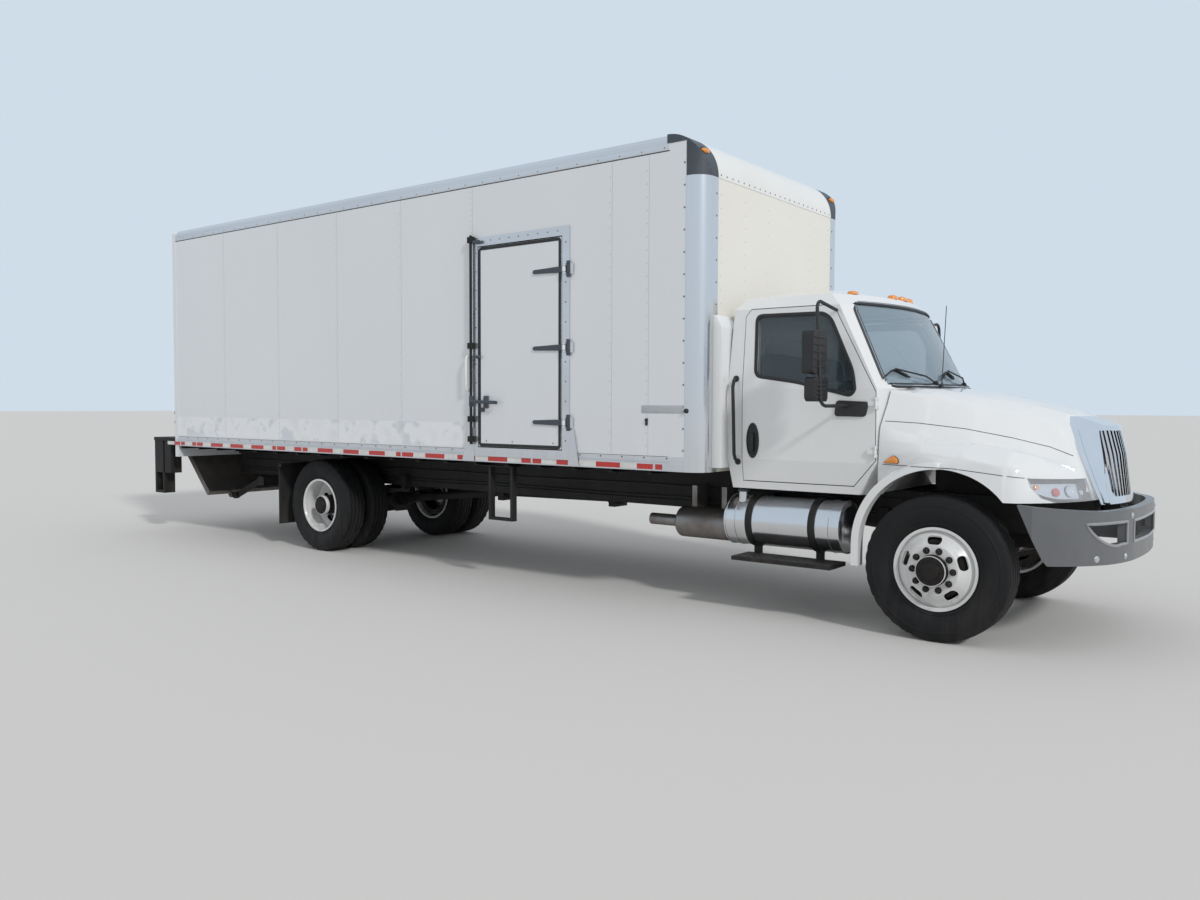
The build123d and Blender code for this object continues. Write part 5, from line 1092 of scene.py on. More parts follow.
fitting = [(0.016, -0.001), (0.016, 0.006), (0.01, 0.014), (0.0, 0.015)]
turned(form, fitting, at(-2.365, wall_y, 1.545), outward, 16)
pressed(form, at(-2.377, wall_y - 0.006, 1.50), at(-2.353, wall_y - 0.0002, 1.53), 0.002)
add_piece("side_fittings", form, soft_black, "chassis", "rubber")
print("vent strip laid")

# %% [markdown]
# A flat duct stands against the front wall behind the cab's right corner, and small
# amber marker lamps sit on the corner caps.

# %% Duct and body lamps
wall_x = at_front("front_wall", -1.0, 1.5)[0].x
form = bmesh.new()
rings = []
for z, deep in ((1.16, 0.085), (2.30, 0.085), (2.40, 0.03)):
    plan = ((0, -1.14), (deep, -1.14), (deep, -0.90), (0, -0.90))
    rings.append([(wall_x + x, y, z) for x, y in plan])
join_rings(form, rings)
bmesh.ops.bevel(
    form, geom=list(form.edges), offset=0.008, segments=2, affect="EDGES", profile=0.5
)
for k in range(6):
    rivet(form, (wall_x + 0.085, -1.118, 1.25 + 0.19 * k), (1, 0, 0), 0.006)
add_piece("front_duct", form, white_enamel, "chassis", "white_paint")


def dome(form, place, out, wide, tall, high):
    """An oval domed lens that lies on a face."""
    level = out.cross(Vector((0, 0, 1))).normalized()
    rise = level.cross(out).normalized()
    rings = []
    steps = ((1.0, -0.004), (1.0, high * 0.3), (0.9, high * 0.7), (0.62, high * 0.93), (0.2, high))
    for share, lift in steps:
        base = place + out * lift
        across, up = level * wide / 2 * share, rise * tall / 2 * share
        rings.append([base + across * math.cos(a) + up * math.sin(a) for a in full_turn(28)])
    join_rings(form, rings)


form, base = bmesh.new(), bmesh.new()
for side, name in sides:
    slant = Vector((-1, -side, 0)).normalized()
    place, out = touch("corner_caps", at(-1.93, side * 1.145, 3.705) - slant, slant)
    out = Vector((out.x, out.y, 0)).normalized()
    dome(form, place, out, 0.115, 0.042, 0.026)
    dome(base, place - out * 0.004, out, 0.135, 0.06, 0.012)
add_piece("body_marker_lamps", form, amber, "chassis", "amber_lens")
add_piece("marker_lamp_bases", base, soft_black, "chassis", "rubber")
print("body lamps set")

# %% [markdown]
# Rubber frames every window. The one round the windscreen is broad and black, with a
# thin bright edge, and those in the doors are slimmer. Each is swept along the
# rounded outline of its opening, and rays lay its path on the cab's skin.

# %% Window rubbers
door_window = [
    (-1.484, 1.908), (-1.110, 1.860), (-0.700, 1.756), (-0.664, 1.796),
    (-0.690, 1.935), (-0.878, 2.320), (-0.940, 2.368), (-1.500, 2.380),
]
screen = [(-0.930, 1.828), (0.930, 1.828), (0.842, 2.458), (-0.842, 2.458)]
glass_inset = 0.014


def rubber_path(outline, reach, step, sink, find, skin, glass, *side):
    """An outline moved outwards and laid on the skin, or level with it over glass."""
    middle = sum(outline, Vector((0, 0))) / len(outline)
    grown = [p + (p - middle).normalized() * reach for p in outline]
    path, outs = [], []
    for p in densely(grown, step, True):
        try:
            place, out = find(skin, *side, p.x, p.y)
        except ValueError:
            place, out = find(glass, *side, p.x, p.y)
            place = place + out * glass_inset
        path.append(place - out * sink)
        outs.append(out)
    return path, outs


for side, name in sides:
    form = bmesh.new()
    leaf = "cab_door_" + name
    window = rounded(door_window, 0.05, 4)
    path, outs = rubber_path(
        window, 0.012, 0.06, 0.002, at_side, leaf, "door_glass_" + name, side
    )
    sweep(form, path, outs, 0.030, 0.017, closed=True)
    add_piece("door_window_rubber_" + name, form, soft_black, leaf, "rubber")
form, edge = bmesh.new(), bmesh.new()
window = rounded(screen, 0.09, 5)
path, outs = rubber_path(window, 0.016, 0.08, 0.001, at_front, "cab_shell", "cab_glass")
sweep(form, path, outs, 0.046, 0.018, closed=True)
bead = [p + o * 0.0085 for p, o in zip(path, outs)]
sweep(edge, bead, outs, 0.007, 0.006, closed=True, sides=6)
add_piece("windscreen_rubber", form, soft_black, "chassis", "rubber")
add_piece("windscreen_bead", edge, bright_chrome, "chassis", "chrome")
print("window rubbers", len(path), "points round the windscreen")

# %% [markdown]
# Two wipers park along the foot of the windscreen. Each has an arm from a pivot in
# the cowl, a bridge and a blade, and the blade lies on the glass.

# %% Wipers and antenna
form = bmesh.new()
for pivot_y, tip_y in ((-0.36, -0.93), (0.30, -0.24)):
    path, outs = [], []
    for k in range(9):
        y = pivot_y * 0.25 + tip_y * 0.75 + (tip_y - pivot_y) * 0.5 * (k / 8 - 0.42)
        z = 1.868 + 0.052 * math.sin(math.pi * k / 8) ** 2 + 0.012 * (1 - k / 8)
        place, out = at_front("cab_glass cab_shell", y, z)
        path.append(place + out * 0.016)
        outs.append(out)
    bridge = [p + o * 0.016 for p, o in zip(path, outs)]
    sweep(form, path, outs, 0.009, 0.022, sides=6)
    sweep(form, bridge[1:8], outs[1:8], 0.014, 0.009, sides=6)
    start, out = at_front("cab_shell cab_glass", pivot_y, 1.842)
    middle = path[4] + outs[4] * 0.032
    arm = [start + out * 0.012, start.lerp(middle, 0.35) + out * 0.04, middle]
    sweep(form, arm, out, 0.015, 0.012, sides=6)
    turned(form, [(0.02, -0.02), (0.02, 0.016), (0.013, 0.026), (0.0, 0.028)], start, out, 16)
add_piece("wipers", form, soft_black, "chassis", "black_plastic")

form = bmesh.new()
foot = at_front("cab_shell", -0.345, 1.812)[0] + Vector((0.012, 0, 0))
mast = [(0.016, -0.02), (0.016, 0.01), (0.008, 0.03), (0.003, 0.05), (0.003, 0.62), (0.0015, 0.64)]
turned(form, mast, foot, (0.02, 0.06, 1), 10)
add_piece("antenna", form, soft_black, "chassis", "black_plastic")
print("wipers and antenna from", [round(v, 3) for v in foot])

# %% [markdown]
# Black pieces stand out on the white cab: the oval pocket of the door handle, a long
# grab handle behind the door and the plate where the mirror's arm bolts on.

# %% Door handles, mirror plates, grab handles
pocket_x, pocket_z = -1.512, 1.39
pocket_half_wide, pocket_half_high = 0.056, 0.142
for side, name in sides:
    leaf, outward = "cab_door_" + name, (0, side, 0)
    form = bmesh.new()
    middle = at_side(leaf, side, pocket_x, pocket_z)[0]
    rings = []
    for scale, lift in ((1.0, -0.004), (1.0, 0.006), (0.88, 0.010), (0.80, 0.003), (0.3, 0.0025)):
        wide, tall = pocket_half_wide * scale, pocket_half_high * scale
        rings.append([
            middle + Vector((wide * math.cos(a), side * lift, tall * math.sin(a)))
            for a in full_turn(28)
        ])
    join_rings(form, rings)
    pull_low, pull_high = Vector((-0.016, 0, -0.085)), Vector((0.016, side * 0.024, 0.06))
    pressed(form, middle + pull_low, middle + pull_high, 0.007)
    lock = middle - Vector((0, 0, 0.112))
    turned(form, [(0.014, -0.002), (0.014, 0.008), (0.008, 0.009)], lock, outward, 16)
    add_piece("door_handle_" + name, form, soft_black, leaf, "black_plastic")

    form = bmesh.new()
    plate = rounded([(-0.815, 1.590), (-0.565, 1.588), (-0.545, 1.700), (-0.800, 1.712)], 0.03, 4)
    steps = ((1.0, -0.003), (1.0, 0.010), (0.93, 0.016), (0.2, 0.017))
    boss(form, leaf + " cab_shell", side, plate, Vector((-0.682, 1.648)), steps)
    add_piece("mirror_plate_" + name, form, soft_black, leaf, "black_plastic")

    form = bmesh.new()
    path = []
    for x, z, off in (
        (-1.668, 1.885, 0.002), (-1.666, 1.87, 0.04), (-1.664, 1.82, 0.058), (-1.656, 1.55, 0.058),
        (-1.650, 1.28, 0.058), (-1.648, 1.235, 0.04), (-1.648, 1.215, 0.002),
    ):
        path.append(at_side("cab_shell " + leaf, side, x, z)[0] + Vector((0, side * off, 0)))
    sweep(form, densely(path, 0.12), (1, 0, 0), 0.028, 0.028, sides=10)
    for end in (path[0], path[-1]):
        foot = end - Vector((0, side * 0.002, 0))
        turned(form, [(0.026, -0.002), (0.026, 0.006), (0.018, 0.012)], foot, outward, 16)
    add_piece("cab_grab_handle_" + name, form, soft_black, "chassis", "black_plastic")
print("handles on both sides")

# %% [markdown]
# The mirrors' heads are plain moulded shells in the solids. A ribbed back, a
# rounded rim and a silvered glass on the rear face make them mirrors.

# %% Mirror glass and shells
mirror_y = 1.31
mirror_half = 0.098
for side, name in sides:
    glass, cover = bmesh.new(), bmesh.new()
    for low_z, high_z, crown in ((1.900, 2.225, 0.002), (1.700, 1.880, 0.0035)):
        middle_z = (low_z + high_z) / 2
        half = high_z - middle_z - 0.016
        corners = [(-mirror_half, -half), (mirror_half, -half)]
        face = rounded(corners + [(mirror_half, half), (-mirror_half, half)], 0.03, 4)
        back_x = touch("mirror_" + name, at(-2.0, side * 1.28, middle_z), (1, 0, 0))[0].x
        join_rings(glass, [
            [Vector((back_x - lift, side * mirror_y + p.x * s, middle_z + p.y * s)) for p in face]
            for s, lift in ((1.0, -0.001), (1.0, 0.002), (0.5, crown))
        ])
        rim = [(back_x - 0.002, side * mirror_y + p.x * 1.08, middle_z + p.y * 1.06) for p in face]
        sweep(cover, rim, (1, 0, 0), 0.014, 0.012, closed=True)
        front_x = touch("mirror_" + name, at(0.5, side * 1.28, middle_z), (-1, 0, 0))[0].x
        for k in range(5):
            z = low_z + (high_z - low_z) * (k + 1) / 6
            rib = ((0, 1.225), (0.006, 1.25), (0.006, 1.38), (0, 1.405))
            rib = [(front_x + x, side * y, z) for x, y in rib]
            sweep(cover, rib, (1, 0, 0), 0.012, 0.008, sides=6)
    add_piece("mirror_glass_" + name, glass, mirror_silver, "cab_door_" + name, "chrome")
    add_piece("mirror_shell_" + name, cover, soft_black, "cab_door_" + name, "black_plastic")
print("mirrors silvered")

# %% [markdown]
# The hood is one moulding with fine joints and a drop-shaped amber lamp at the rear of
# each wing. Each joint is a thin dark line laid on the skin by rays from the side.

# %% Hood joints and wing lamps
hood_lines = (
    [(-0.43, 1.559), (-0.2, 1.545), (0.1, 1.507), (0.4, 1.445), (0.62, 1.385), (0.76, 1.325)],
    [(-0.43, 1.240), (-0.3, 1.240), (-0.1, 1.240), (0.12, 1.234), (0.35, 1.2105), (0.565, 1.1875)],
)
form = bmesh.new()
for side, name in sides:
    for line in hood_lines:
        found = [at_side("hood", side, p.x, p.y) for p in densely(line, 0.04)]
        sweep(form, [f[0] for f in found], [f[1] for f in found], 0.0055, 0.003, sides=6)
add_piece("hood_joints", form, soft_black, "hood", "rubber")

form, base = bmesh.new(), bmesh.new()
drop = rounded([(-0.428, 1.252), (-0.302, 1.252), (-0.304, 1.284), (-0.342, 1.312)], 0.03, 5)
for side, name in sides:
    for made, scale, low_lift, lift in ((base, 1.1, -0.003, 0.004), (form, 1.0, 0.003, 0.014)):
        steps = ((scale, low_lift), (scale, lift))
        steps += ((scale * 0.82, lift + 0.006), (scale * 0.3, lift + 0.009))
        boss(made, "hood", side, drop, Vector((-0.342, 1.275)), steps)
add_piece("wing_lamps", form, amber, "hood", "amber_lens")
add_piece("wing_lamp_bases", base, soft_black, "hood", "rubber")
print("hood dressed")

# %% [markdown]
# A headlamp is a clear shell over bright bowls. The solid lens stays and is clear;
# behind it go a silvered liner, two lamp bowls and two reflectors, each set back
# from the lens by a ray that finds its skin.

# %% Inside the headlamps
liner_form, bowl_form, amber_form, red_form = (bmesh.new() for _ in range(4))
liner_depth = 0.022
lamp_rows = [
    [(0.600, 1.150), (0.640, 1.150), (0.70, 1.150), (0.76, 1.148), (0.815, 1.142)],
    [(0.615, 1.120), (0.660, 1.105), (0.72, 1.100), (0.77, 1.098), (0.83, 1.095)],
    [(0.650, 1.085), (0.690, 1.065), (0.74, 1.050), (0.79, 1.045), (0.845, 1.045)],
]
for side, name in sides:
    grid = []
    for column in zip(*lamp_rows):
        found = [at_side("headlamps", side, x, z) for x, z in column]
        grid.append([place - out * liner_depth for place, out in found])
    inward = Vector((-0.004, -side * 0.006, 0))
    shell(liner_form, grid, [[p + inward for p in line] for line in grid])
    for x, z, size in ((0.795, 1.095, 0.042), (0.842, 1.085, 0.022)):
        bowl = [(size, -0.020), (size * 0.96, -0.012), (size * 0.8, -0.018)]
        bowl += [(size * 0.5, -0.0215), (size * 0.24, -0.020), (0.0, -0.014)]
        turned(bowl_form, bowl, *at_side("headlamps", side, x, z), 28)
    red = [(0.030, -0.020), (0.029, -0.013), (0.016, -0.010), (0.0, -0.0095)]
    turned(red_form, red, *at_side("headlamps", side, 0.735, 1.092), 20)
    yellow = [(0.018, -0.020), (0.017, -0.013), (0.009, -0.010), (0.0, -0.0095)]
    turned(amber_form, yellow, *at_side("headlamps", side, 0.635, 1.128), 20)
add_piece("headlamp_liner", liner_form, bright_chrome, "hood", "chrome")
add_piece("headlamp_bowls", bowl_form, bright_chrome, "hood", "chrome")
add_piece("headlamp_turn_reflector", red_form, red_lens, "hood", "amber_lens")
add_piece("headlamp_side_reflector", amber_form, amber, "hood", "amber_lens")
print("headlamps fitted out")

# %% [markdown]
# The bright frame round the grille is a deep pressing: from the hood's edge it turns
# forward in a smooth cheek to the bars. The solid has its rim and the bars, so the
# cheek is a thin pressing between them. Rays from ahead find the last bar and the
# rim at each height, and a bulged strip joins the two.

# %% The grille's cheeks
cheek_thickness = 0.004
cheek_bulge = 0.02
rim_y, bar_y = 0.435, 0.303


def grille_x(y, z):
    """How far forward the grille stands at a place, or nothing where it is open."""
    try:
        return at_front("grille", y, z)[0].x
    except ValueError:
        return None


form = bmesh.new()
for side, name in sides:
    rings = []
    for k in range(17):
        z = 0.998 + k * 0.0318
        rim_x, bar_x = grille_x(side * rim_y, z), grille_x(side * bar_y, z)
        if rim_x is None or bar_x is None:
            continue
        inner_y = 0.385 - (z - 1.06) * 0.12
        start = Vector((bar_x - 0.38 * (inner_y - bar_y), inner_y))
        end = Vector((rim_x + 0.002, rim_y + 0.004))
        away = Vector((abs(end.y - start.y), start.x - end.x)).normalized()
        face = []
        for t in (0.0, 0.2, 0.4, 0.6, 0.8, 1.0):
            spot = start.lerp(end, t) + away * cheek_bulge * math.sin(math.pi * t)
            face.append(Vector((spot.x, side * spot.y, z)))
        inward = Vector((away.x, side * away.y, 0)) * cheek_thickness
        rings.append(face + [p - inward for p in reversed(face)])
    join_rings(form, rings)
add_piece("grille_cheeks", form, bright_chrome, "hood", "chrome", 50.0)
print("cheeks", [round(v, 3) for v in rings[0][0]], [round(v, 3) for v in rings[-1][5]])

# %% [markdown]
# The bumper is a grey moulding with a broad slot across its face, which two posts
# divide. A pale lip runs round each of the three openings, and bolts hold the face.

# %% Bumper lips and bolts
slot_top, slot_low, slot_end = 0.888, 0.742, 0.925
slot_middle = (slot_top + slot_low) / 2
post_from, post_to = 0.420, 0.550


def three_point_arc(start, middle, end, steps):
    """Points of the arc through three places in a plane."""
    ax, ay, bx, by, cx, cy = *start, *middle, *end
    d = 2 * (ax * (by - cy) + bx * (cy - ay) + cx * (ay - by))
    a2, b2, c2 = ax * ax + ay * ay, bx * bx + by * by, cx * cx + cy * cy
    ux = (a2 * (by - cy) + b2 * (cy - ay) + c2 * (ay - by)) / d
    uy = (a2 * (cx - bx) + b2 * (ax - cx) + c2 * (bx - ax)) / d
    first, last = math.atan2(ay - uy, ax - ux), math.atan2(cy - uy, cx - ux)
    if last - first > math.pi:
        last -= 2 * math.pi
    if first - last > math.pi:
        last += 2 * math.pi
    size = math.hypot(ax - ux, ay - uy)
    turns = [first + (last - first) * k / steps for k in range(steps + 1)]
    return [Vector((ux + size * math.cos(t), uy + size * math.sin(t))) for t in turns]


def lip_place(spot, middle):
    """A place on the bumper just outside the slot's edge."""
    away = (spot - middle).normalized()
    for reach in (0.004, 0.008, 0.014, 0.022, 0.032):
        q = spot + away * reach
        try:
            place, out = at_front("front_bumper", q.x, q.y)
        except ValueError:
            continue
        if place.x > front_axle_x + 0.75:
            return place, Vector((out.x, out.y, 0)).normalized()
    return None


def lip(form, outline, middle_y):
    """A lip along an opening's edge."""
    middle = Vector((middle_y, slot_middle))
    found = [lip_place(p, middle) for p in densely(outline, 0.05, True)]
    found = [f for f in found if f]
    sweep(form, [f[0] for f in found], [f[1] for f in found], 0.022, 0.016, closed=True)


form = bmesh.new()
curve = three_point_arc(
    (slot_end, slot_top), (slot_end - 0.085, slot_low + 0.045), (slot_end - 0.29, slot_low), 10
)
for side, name in sides:
    outline = [(side * post_to, slot_top), (side * 0.75, slot_top)]
    outline += [(side * p.x, p.y) for p in curve] + [(side * post_to, slot_low)]
    lip(form, outline, side * 0.72)
outline = [(-post_from, slot_top), (-post_from, slot_low), (post_from, slot_low)]
lip(form, outline + [(post_from, slot_top)], 0.0)
add_piece("bumper_lip", form, lip_grey, "chassis", "grey_paint")
form = bmesh.new()
bolt_spots = (
    (-0.47, 0.925), (-0.57, 0.655), (0.47, 0.925), (0.57, 0.655), (-0.86, 0.655), (0.86, 0.655),
)
for y, z in bolt_spots:
    place, out = at_front("front_bumper", y, z)
    turned(form, [(0.015, -0.001), (0.015, 0.006), (0.012, 0.009), (0.0, 0.0095)], place, out, 6)
    turned(form, [(0.022, -0.001), (0.022, 0.0025), (0.018, 0.003)], place, out, 20)
add_piece("bumper_bolts", form, bright_rail, "chassis", "steel")
print("bumper dressed")

# %% [markdown]
# The clearance lamps on the cab's roof are low amber domes on thin black feet. Each
# solid of that node gives its place and size, and a dome takes its room.

# %% Cab roof lamps
lamps = bmesh.new()
lamps.from_mesh(nodes["roof_lamps"].data)
bmesh.ops.remove_doubles(lamps, verts=lamps.verts, dist=0.0003)
unseen = set(lamps.verts)
form, feet = bmesh.new(), bmesh.new()
lamp_count = 0


def rounder(value):
    """A sine or cosine pushed outwards, which turns an oval into a rounded block."""
    return math.copysign(abs(value) ** 0.6, value)


while unseen:
    group, waiting = set(), [unseen.pop()]
    while waiting:
        v = waiting.pop()
        group.add(v)
        linked = {e.other_vert(v) for e in v.link_edges} & unseen
        unseen -= linked
        waiting += linked
    spans = [(min(v.co[i] for v in group), max(v.co[i] for v in group)) for i in range(3)]
    half_x, half_y, tall = ((b - a) / share for (a, b), share in zip(spans, (2, 2, 1)))
    middle = Vector((sum(spans[0]) / 2, sum(spans[1]) / 2, spans[2][0]))
    for made, share, foot, top in ((form, 0.97, 0.004, tall * 0.9), (feet, 1.04, 0.0, 0.010)):
        rise = top - foot
        rings = []
        for width, lift in ((1.0, 0.0), (1.0, 0.4), (0.86, 0.8), (0.5, 1.0)):
            wide, deep = half_x * share * width, half_y * share * width
            rings.append([
                middle + Vector((
                    rounder(math.cos(a)) * wide, rounder(math.sin(a)) * deep, foot + rise * lift
                ))
                for a in full_turn(24)
            ])
        join_rings(made, rings)
    lamp_count += 1
lamps.free()
roof_domes = add_piece("cab_roof_lamp_domes", form, amber, "chassis", "amber_lens")
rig.replaces(roof_domes, "roof_lamps")
add_piece("cab_roof_lamp_feet", feet, soft_black, "chassis", "rubber")
print("cab roof lamps", lamp_count)

# %% [markdown]
# The seats show through the windows, and cloth never has the flat faces of their solid
# stand-ins. Each cushion and back is a crowned pad whose sides pull in to a seam,
# with sewn channels across it. The pads are shaped in mesh code and smoothed with a
# subdivision surface, which is quicker here than a cloth simulation.

# %% Seats
ahead, across, upward = Vector((1, 0, 0)), Vector((0, 1, 0)), Vector((0, 0, 1))
pad_steps = 12


def pad(form, origin, across, along, out, width, length, thick, channels):
    """A crowned pad with sewn channels, its lower face at the origin's plane."""
    top, bottom = [], []
    for i in range(pad_steps + 1):
        u = 2 * i / pad_steps - 1
        upper, lower = [], []
        seam = 1.0 - sum(0.16 * math.exp(-(((u - place) * 9) ** 2)) for place in channels)
        for k in range(pad_steps + 1):
            v = 2 * k / pad_steps - 1
            pull_u = 1 - 0.045 * v * v
            pull_v = 1 - 0.045 * u * u
            crown = (1 - abs(u) ** 6) ** 0.5 * (1 - abs(v) ** 6) ** 0.5
            spot = origin + across * (u * pull_u * width / 2) + along * (v * pull_v * length / 2)
            upper.append(spot + out * (thick * (0.42 + 0.58 * crown * seam)))
            lower.append(spot + out * (thick * 0.38 * (1 - crown)))
        top.append(upper)
        bottom.append(lower)
    shell(form, top, bottom)


back_up = Vector((-0.055, 0, 0.998)).normalized()
back_out = Vector((0.998, 0, 0.055)).normalized()
seat_pieces = []
for name, y, width, channels in (
    ("driver", 0.500, 0.520, (-0.55, 0.0, 0.55)),
    ("bench", -0.420, 0.860, (-0.7, -0.35, 0.0, 0.35, 0.7)),
):
    form = bmesh.new()
    pad(form, at(-1.275, y, 1.395), across, ahead, upward, width - 0.03, 0.40, 0.135, channels)
    cushion = add_piece("seat_cushion_" + name, form, seat_cloth, "chassis", "seat_cloth", 60.0)
    form = bmesh.new()
    pad(form, at(-1.585, y, 1.80), across, back_up, back_out, width - 0.04, 0.60, 0.115, channels)
    back = add_piece("seat_back_" + name, form, seat_cloth, "chassis", "seat_cloth", 60.0)
    form = bmesh.new()
    half = width / 2 - 0.03
    pressed(form, at(-1.56, y - half, 1.0595), at(-1.10, y + half, 1.40), 0.02)
    base = add_piece("seat_base_" + name, form, cab_trim, "chassis", "grey_trim")
    seat_pieces += [cushion, back, base]
    for soft in (cushion, back):
        smooth = soft.modifiers.new("softness", "SUBSURF")
        smooth.levels = 1
        smooth.render_levels = 1
        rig.padded(soft, fill=0.7)
for made in seat_pieces:
    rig.replaces(made, "seats")
print("seats", len(seat_pieces), "pieces")

# %% [markdown]
# The steering wheel and dashboard show dimly. A rim cover, an instrument hood with two
# blank dials and air vents give the glass something to show.

# %% Dashboard trim
form = bmesh.new()
wheel_tilt = Vector((-0.62, 0, 0.78)).normalized()
wheel_middle = at(-0.90, 0.500, 1.730) + wheel_tilt * 0.013
wheel_up = wheel_tilt.cross(across)
wheel_rim = [
    wheel_middle + (across * math.cos(a) + wheel_up * math.sin(a)) * 0.2115 for a in full_turn(40)
]
sweep(form, wheel_rim, wheel_tilt, 0.034, 0.034, closed=True)
add_piece("steering_wheel_cover", form, soft_black, "chassis", "grey_trim")
form = bmesh.new()
dial = [(0.066, -0.004), (0.066, 0.012), (0.058, 0.016), (0.056, 0.006), (0.0, 0.005)]
for y in (0.42, 0.58):
    turned(form, dial, at(-0.797, y, 1.700), (-1, 0, 0.28), 28)
for y in (-0.7, -0.45, 0.05, 0.2):
    for k in range(4):
        z = 1.60 + 0.022 * k
        pressed(form, at(-0.832, y - 0.05, z), at(-0.815, y + 0.05, z + 0.009), 0.002, 1)
add_piece("dashboard_trim", form, soft_black, "chassis", "grey_trim")
print("dashboard trimmed")

# %% [markdown]
# The fuel tank is a polished drum with rolled seams at its ends, a cap, and a step
# plate below it with a chequered top.

# %% Fuel tank details
tank_y, tank_z, tank_r = -0.800, 0.725, 0.205
tank_back, tank_front = -1.790, -0.775
form = bmesh.new()
seam = [(-0.002, -0.009), (0.004, -0.006), (0.005, 0.0), (0.004, 0.006), (-0.002, 0.009)]
seam = [(tank_r + rise, along) for rise, along in seam]
end_cap = [(tank_r - 0.014, -0.002), (tank_r - 0.03, 0.010), (tank_r * 0.6, 0.022), (0.0, 0.027)]
for x in (tank_back + 0.012, tank_back + 0.10, tank_front - 0.10, tank_front - 0.012):
    turned(form, seam, at(x, tank_y, tank_z), ahead, 56, closed=True)
for x, way in ((tank_back, -1), (tank_front, 1)):
    turned(form, end_cap, at(x, tank_y, tank_z), (way, 0, 0), 48)
add_piece("fuel_tank_seams", form, tank_metal, "chassis", "polished_aluminium")
form = bmesh.new()
cap = touch("fuel_tank", at(-1.66, tank_y - 0.095, 1.5), (0, 0, -1))[0]
turned(form, [(0.052, 0.0), (0.052, 0.018), (0.046, 0.022), (0.0, 0.024)], cap, upward, 28)
grip = (0.008, 0.045)
pressed(
    form,
    cap + Vector((-grip[0], -grip[1], 0.018)),
    cap + Vector((grip[0], grip[1], 0.036)),
)
add_piece("fuel_cap", form, slate_coat, "chassis", "steel")
form = bmesh.new()
plate_top = tank_z - tank_r - 0.060
for i in range(26):
    for k in range(7):
        way = Vector((1, 1 if (i + k) % 2 else -1, 0)).normalized() * 0.010
        here = at(-1.62 + i * 0.032, tank_y - 0.31 + k * 0.042, plate_top + 0.0005)
        sweep(form, [here - way, here + way], upward, 0.005, 0.0035, sides=6)
add_piece("tank_step_tread", form, bare_steel, "chassis", "black_paint")
print("tank dressed")

# %% [markdown]
# Behind, the roll-up door is a stack of slats with hinges between them, in a frame
# with red lamps, and a latch sits at its foot. None of it shows in the photograph,
# so it follows what such bodies have.

# %% Rear door hardware and lamps
shutter_low, shutter_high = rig.box("roll_up_door")
face_x = at_rear("roll_up_door", 0.3, 2.2)[0].x
slat = 0.30
behind = (-1, 0, 0)
form, joints = bmesh.new(), bmesh.new()
z = shutter_low[2] + slat
while z < shutter_high[2] - 0.1:
    line = [(face_x, shutter_low[1] + 0.02, z), (face_x, shutter_high[1] - 0.02, z)]
    sweep(joints, line, behind, 0.007, 0.004, sides=6)
    for y in (-0.95, -0.32, 0.32, 0.95):
        for from_z, to_z in ((z - 0.045, z - 0.006), (z + 0.006, z + 0.045)):
            foot = (face_x - 0.004, y - 0.028, from_z)
            pressed(form, foot, (face_x - 0.0003, y + 0.028, to_z), 0.001, 1)
    z += slat
z = shutter_low[2] + 0.22
pressed(form, (face_x - 0.03, -0.11, z - 0.05), (face_x - 0.0005, 0.11, z + 0.05), 0.008)
latch = ((0.034, -0.12), (0.05, 0.0), (0.034, 0.09))
latch = [(face_x - off, 0.0, z + rise) for off, rise in latch]
sweep(form, latch, behind, 0.022, 0.014)
add_piece("rear_door_hinges", form, bare_steel, "chassis", "steel")
add_piece("rear_door_joints", joints, soft_black, "chassis", "rubber")

red_lamps, lamp_cups = bmesh.new(), bmesh.new()
lamp_spots = [
    (side * y, z, radius)
    for side in (1, -1)
    for y, z, radius in ((1.245, 1.55, 0.045), (1.245, 1.43, 0.045), (1.245, 3.62, 0.024))
]
# The lamp at y -0.2 is laid twice in one place.
lamp_spots += [(y, 3.72, 0.024) for y in (0.0, 0.2, -0.2, -0.2)]
for y, z, radius in lamp_spots:
    place, out = at_rear("rear_frame corner_posts roll_up_door", y, z)
    lamp = [(radius, 0.001), (radius, 0.010), (radius * 0.8, 0.018), (0.0, 0.020)]
    cup = [(radius + 0.008, 0.0003), (radius + 0.008, 0.006), (radius + 0.003, 0.008)]
    turned(red_lamps, lamp, place, out, 24)
    turned(lamp_cups, cup, place, out, 24)
add_piece("rear_lamps", red_lamps, red_lens, "chassis", "lens")
add_piece("rear_lamp_cups", lamp_cups, soft_black, "chassis", "rubber")
print("rear dressed")

# %% [markdown]
# Under the body, bare rails would look unfinished, so brake pipes run along them.
# They sag a little between their clips.

# %% Pipes along the frame
form = bmesh.new()
pipe_y = 0.442
for side, name in sides:
    for z in (0.80, 0.83, 0.93):
        path = []
        for k in range(20):
            off, sag = 0.004 * math.sin(k * 1.7 + z * 9), 0.006 * math.sin(k * 1.1 + z * 20)
            path.append(at(-9.5 + k * 0.5, side * (pipe_y + off), z + sag))
        sweep(form, path, (0, side, 0), 0.016, 0.016, sides=6)
add_piece("frame_pipes", form, soft_black, "chassis", "rubber")
print("pipes along the rails")

# %% [markdown]
# The studio: a pale floor that runs far back, a soft sky and one broad sun, so that
# colours render about as they are written. What the camera, mirrors and glass see of
# the sky is a plain pale blue. The camera stands where the photographer stood: its
# place, turn and lens were found from wheels and edges.

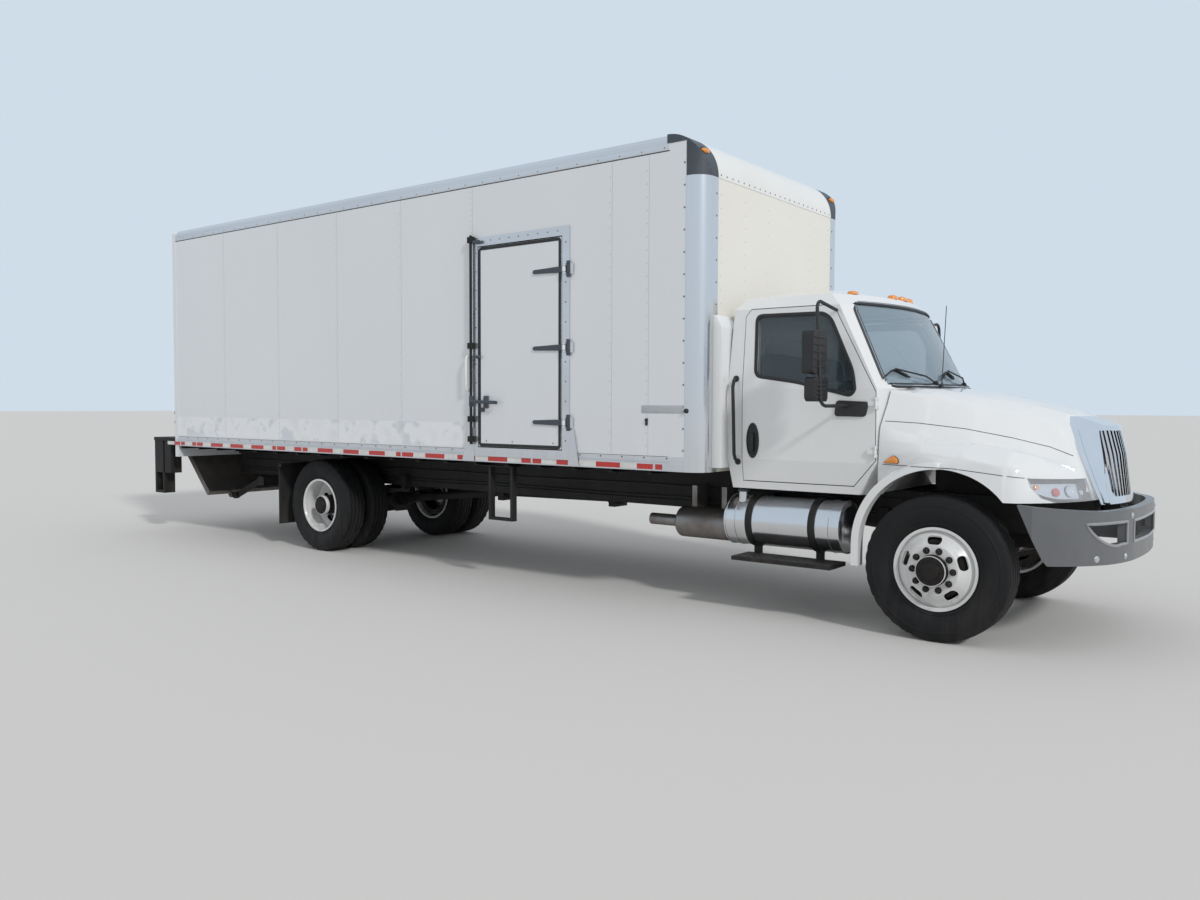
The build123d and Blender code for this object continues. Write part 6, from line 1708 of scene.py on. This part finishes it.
# %% Floor, light and camera
scene = bpy.context.scene
scene.view_settings.view_transform = "Standard"
bpy.ops.mesh.primitive_plane_add(size=400.0, location=(0, 0, 0))
floor = bpy.context.object
floor.name = "studio_floor"
floor_paint = bpy.data.materials.new("floor_paint")
floor_paint.use_nodes = True
floor_shader = floor_paint.node_tree.nodes["Principled BSDF"]
socket(floor_shader, "Base Color", (0.66, 0.645, 0.62, 1))
socket(floor_shader, "Roughness", 0.9)
floor.data.materials.append(floor_paint)
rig.stage(floor)

world = bpy.data.worlds.new("studio")
scene.world = world
world.use_nodes = True
sky_nodes, sky_link = world.node_tree.nodes, world.node_tree.links.new
sky = sky_nodes["Background"]
socket(sky, "Color", (0.93, 0.96, 1.0, 1))
socket(sky, "Strength", 0.68)
backdrop = sky_nodes.new("ShaderNodeBackground")
socket(backdrop, "Color", (0.66, 0.76, 0.86, 1))
socket(backdrop, "Strength", 0.95)
ray = sky_nodes.new("ShaderNodeLightPath")
seen = ray.outputs["Is Camera Ray"]
for kind in ("Is Glossy Ray", "Is Transmission Ray"):
    total = sky_nodes.new("ShaderNodeMath")
    total.operation = "ADD"
    total.use_clamp = True
    sky_link(seen, total.inputs[0])
    sky_link(ray.outputs[kind], total.inputs[1])
    seen = total.outputs["Value"]
choice = sky_nodes.new("ShaderNodeMixShader")
sky_link(seen, choice.inputs[0])
sky_link(sky.outputs["Background"], choice.inputs[1])
sky_link(backdrop.outputs["Background"], choice.inputs[2])
sky_link(choice.outputs["Shader"], sky_nodes["World Output"].inputs["Surface"])

sun_lamp = bpy.data.lights.new("sun", "SUN")
sun_lamp.energy = 1.5
sun_lamp.angle = math.radians(6)
sun = bpy.data.objects.new("sun", sun_lamp)
sun.matrix_world = Vector((0.78, -0.3, 0.55)).to_track_quat("Z", "Y").to_matrix().to_4x4()
scene.collection.objects.link(sun)

eye = bpy.data.cameras.new("photographer")
eye.sensor_width = 36.0
eye.lens = 29.475
eye.clip_end = 500.0
camera = bpy.data.objects.new("photographer", eye)
turn, pitch, roll = math.radians(37.47), math.radians(-2.643), math.radians(0.194)
camera.matrix_world = (
    Matrix.Translation((front_axle_x + 2.308, -8.024, 1.672))
    @ Matrix.Rotation(turn, 4, "Z")
    @ Matrix.Rotation(math.radians(90) + pitch, 4, "X")
    @ Matrix.Rotation(roll, 4, "Z")
)
scene.collection.objects.link(camera)
scene.camera = camera
print("camera at", [round(v, 3) for v in camera.location])

# %% The last lines
low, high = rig.bounds()
with open("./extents.json", "w") as out:
    json.dump({"solids": solid_size, "dressed": [list(low), list(high)]}, out)
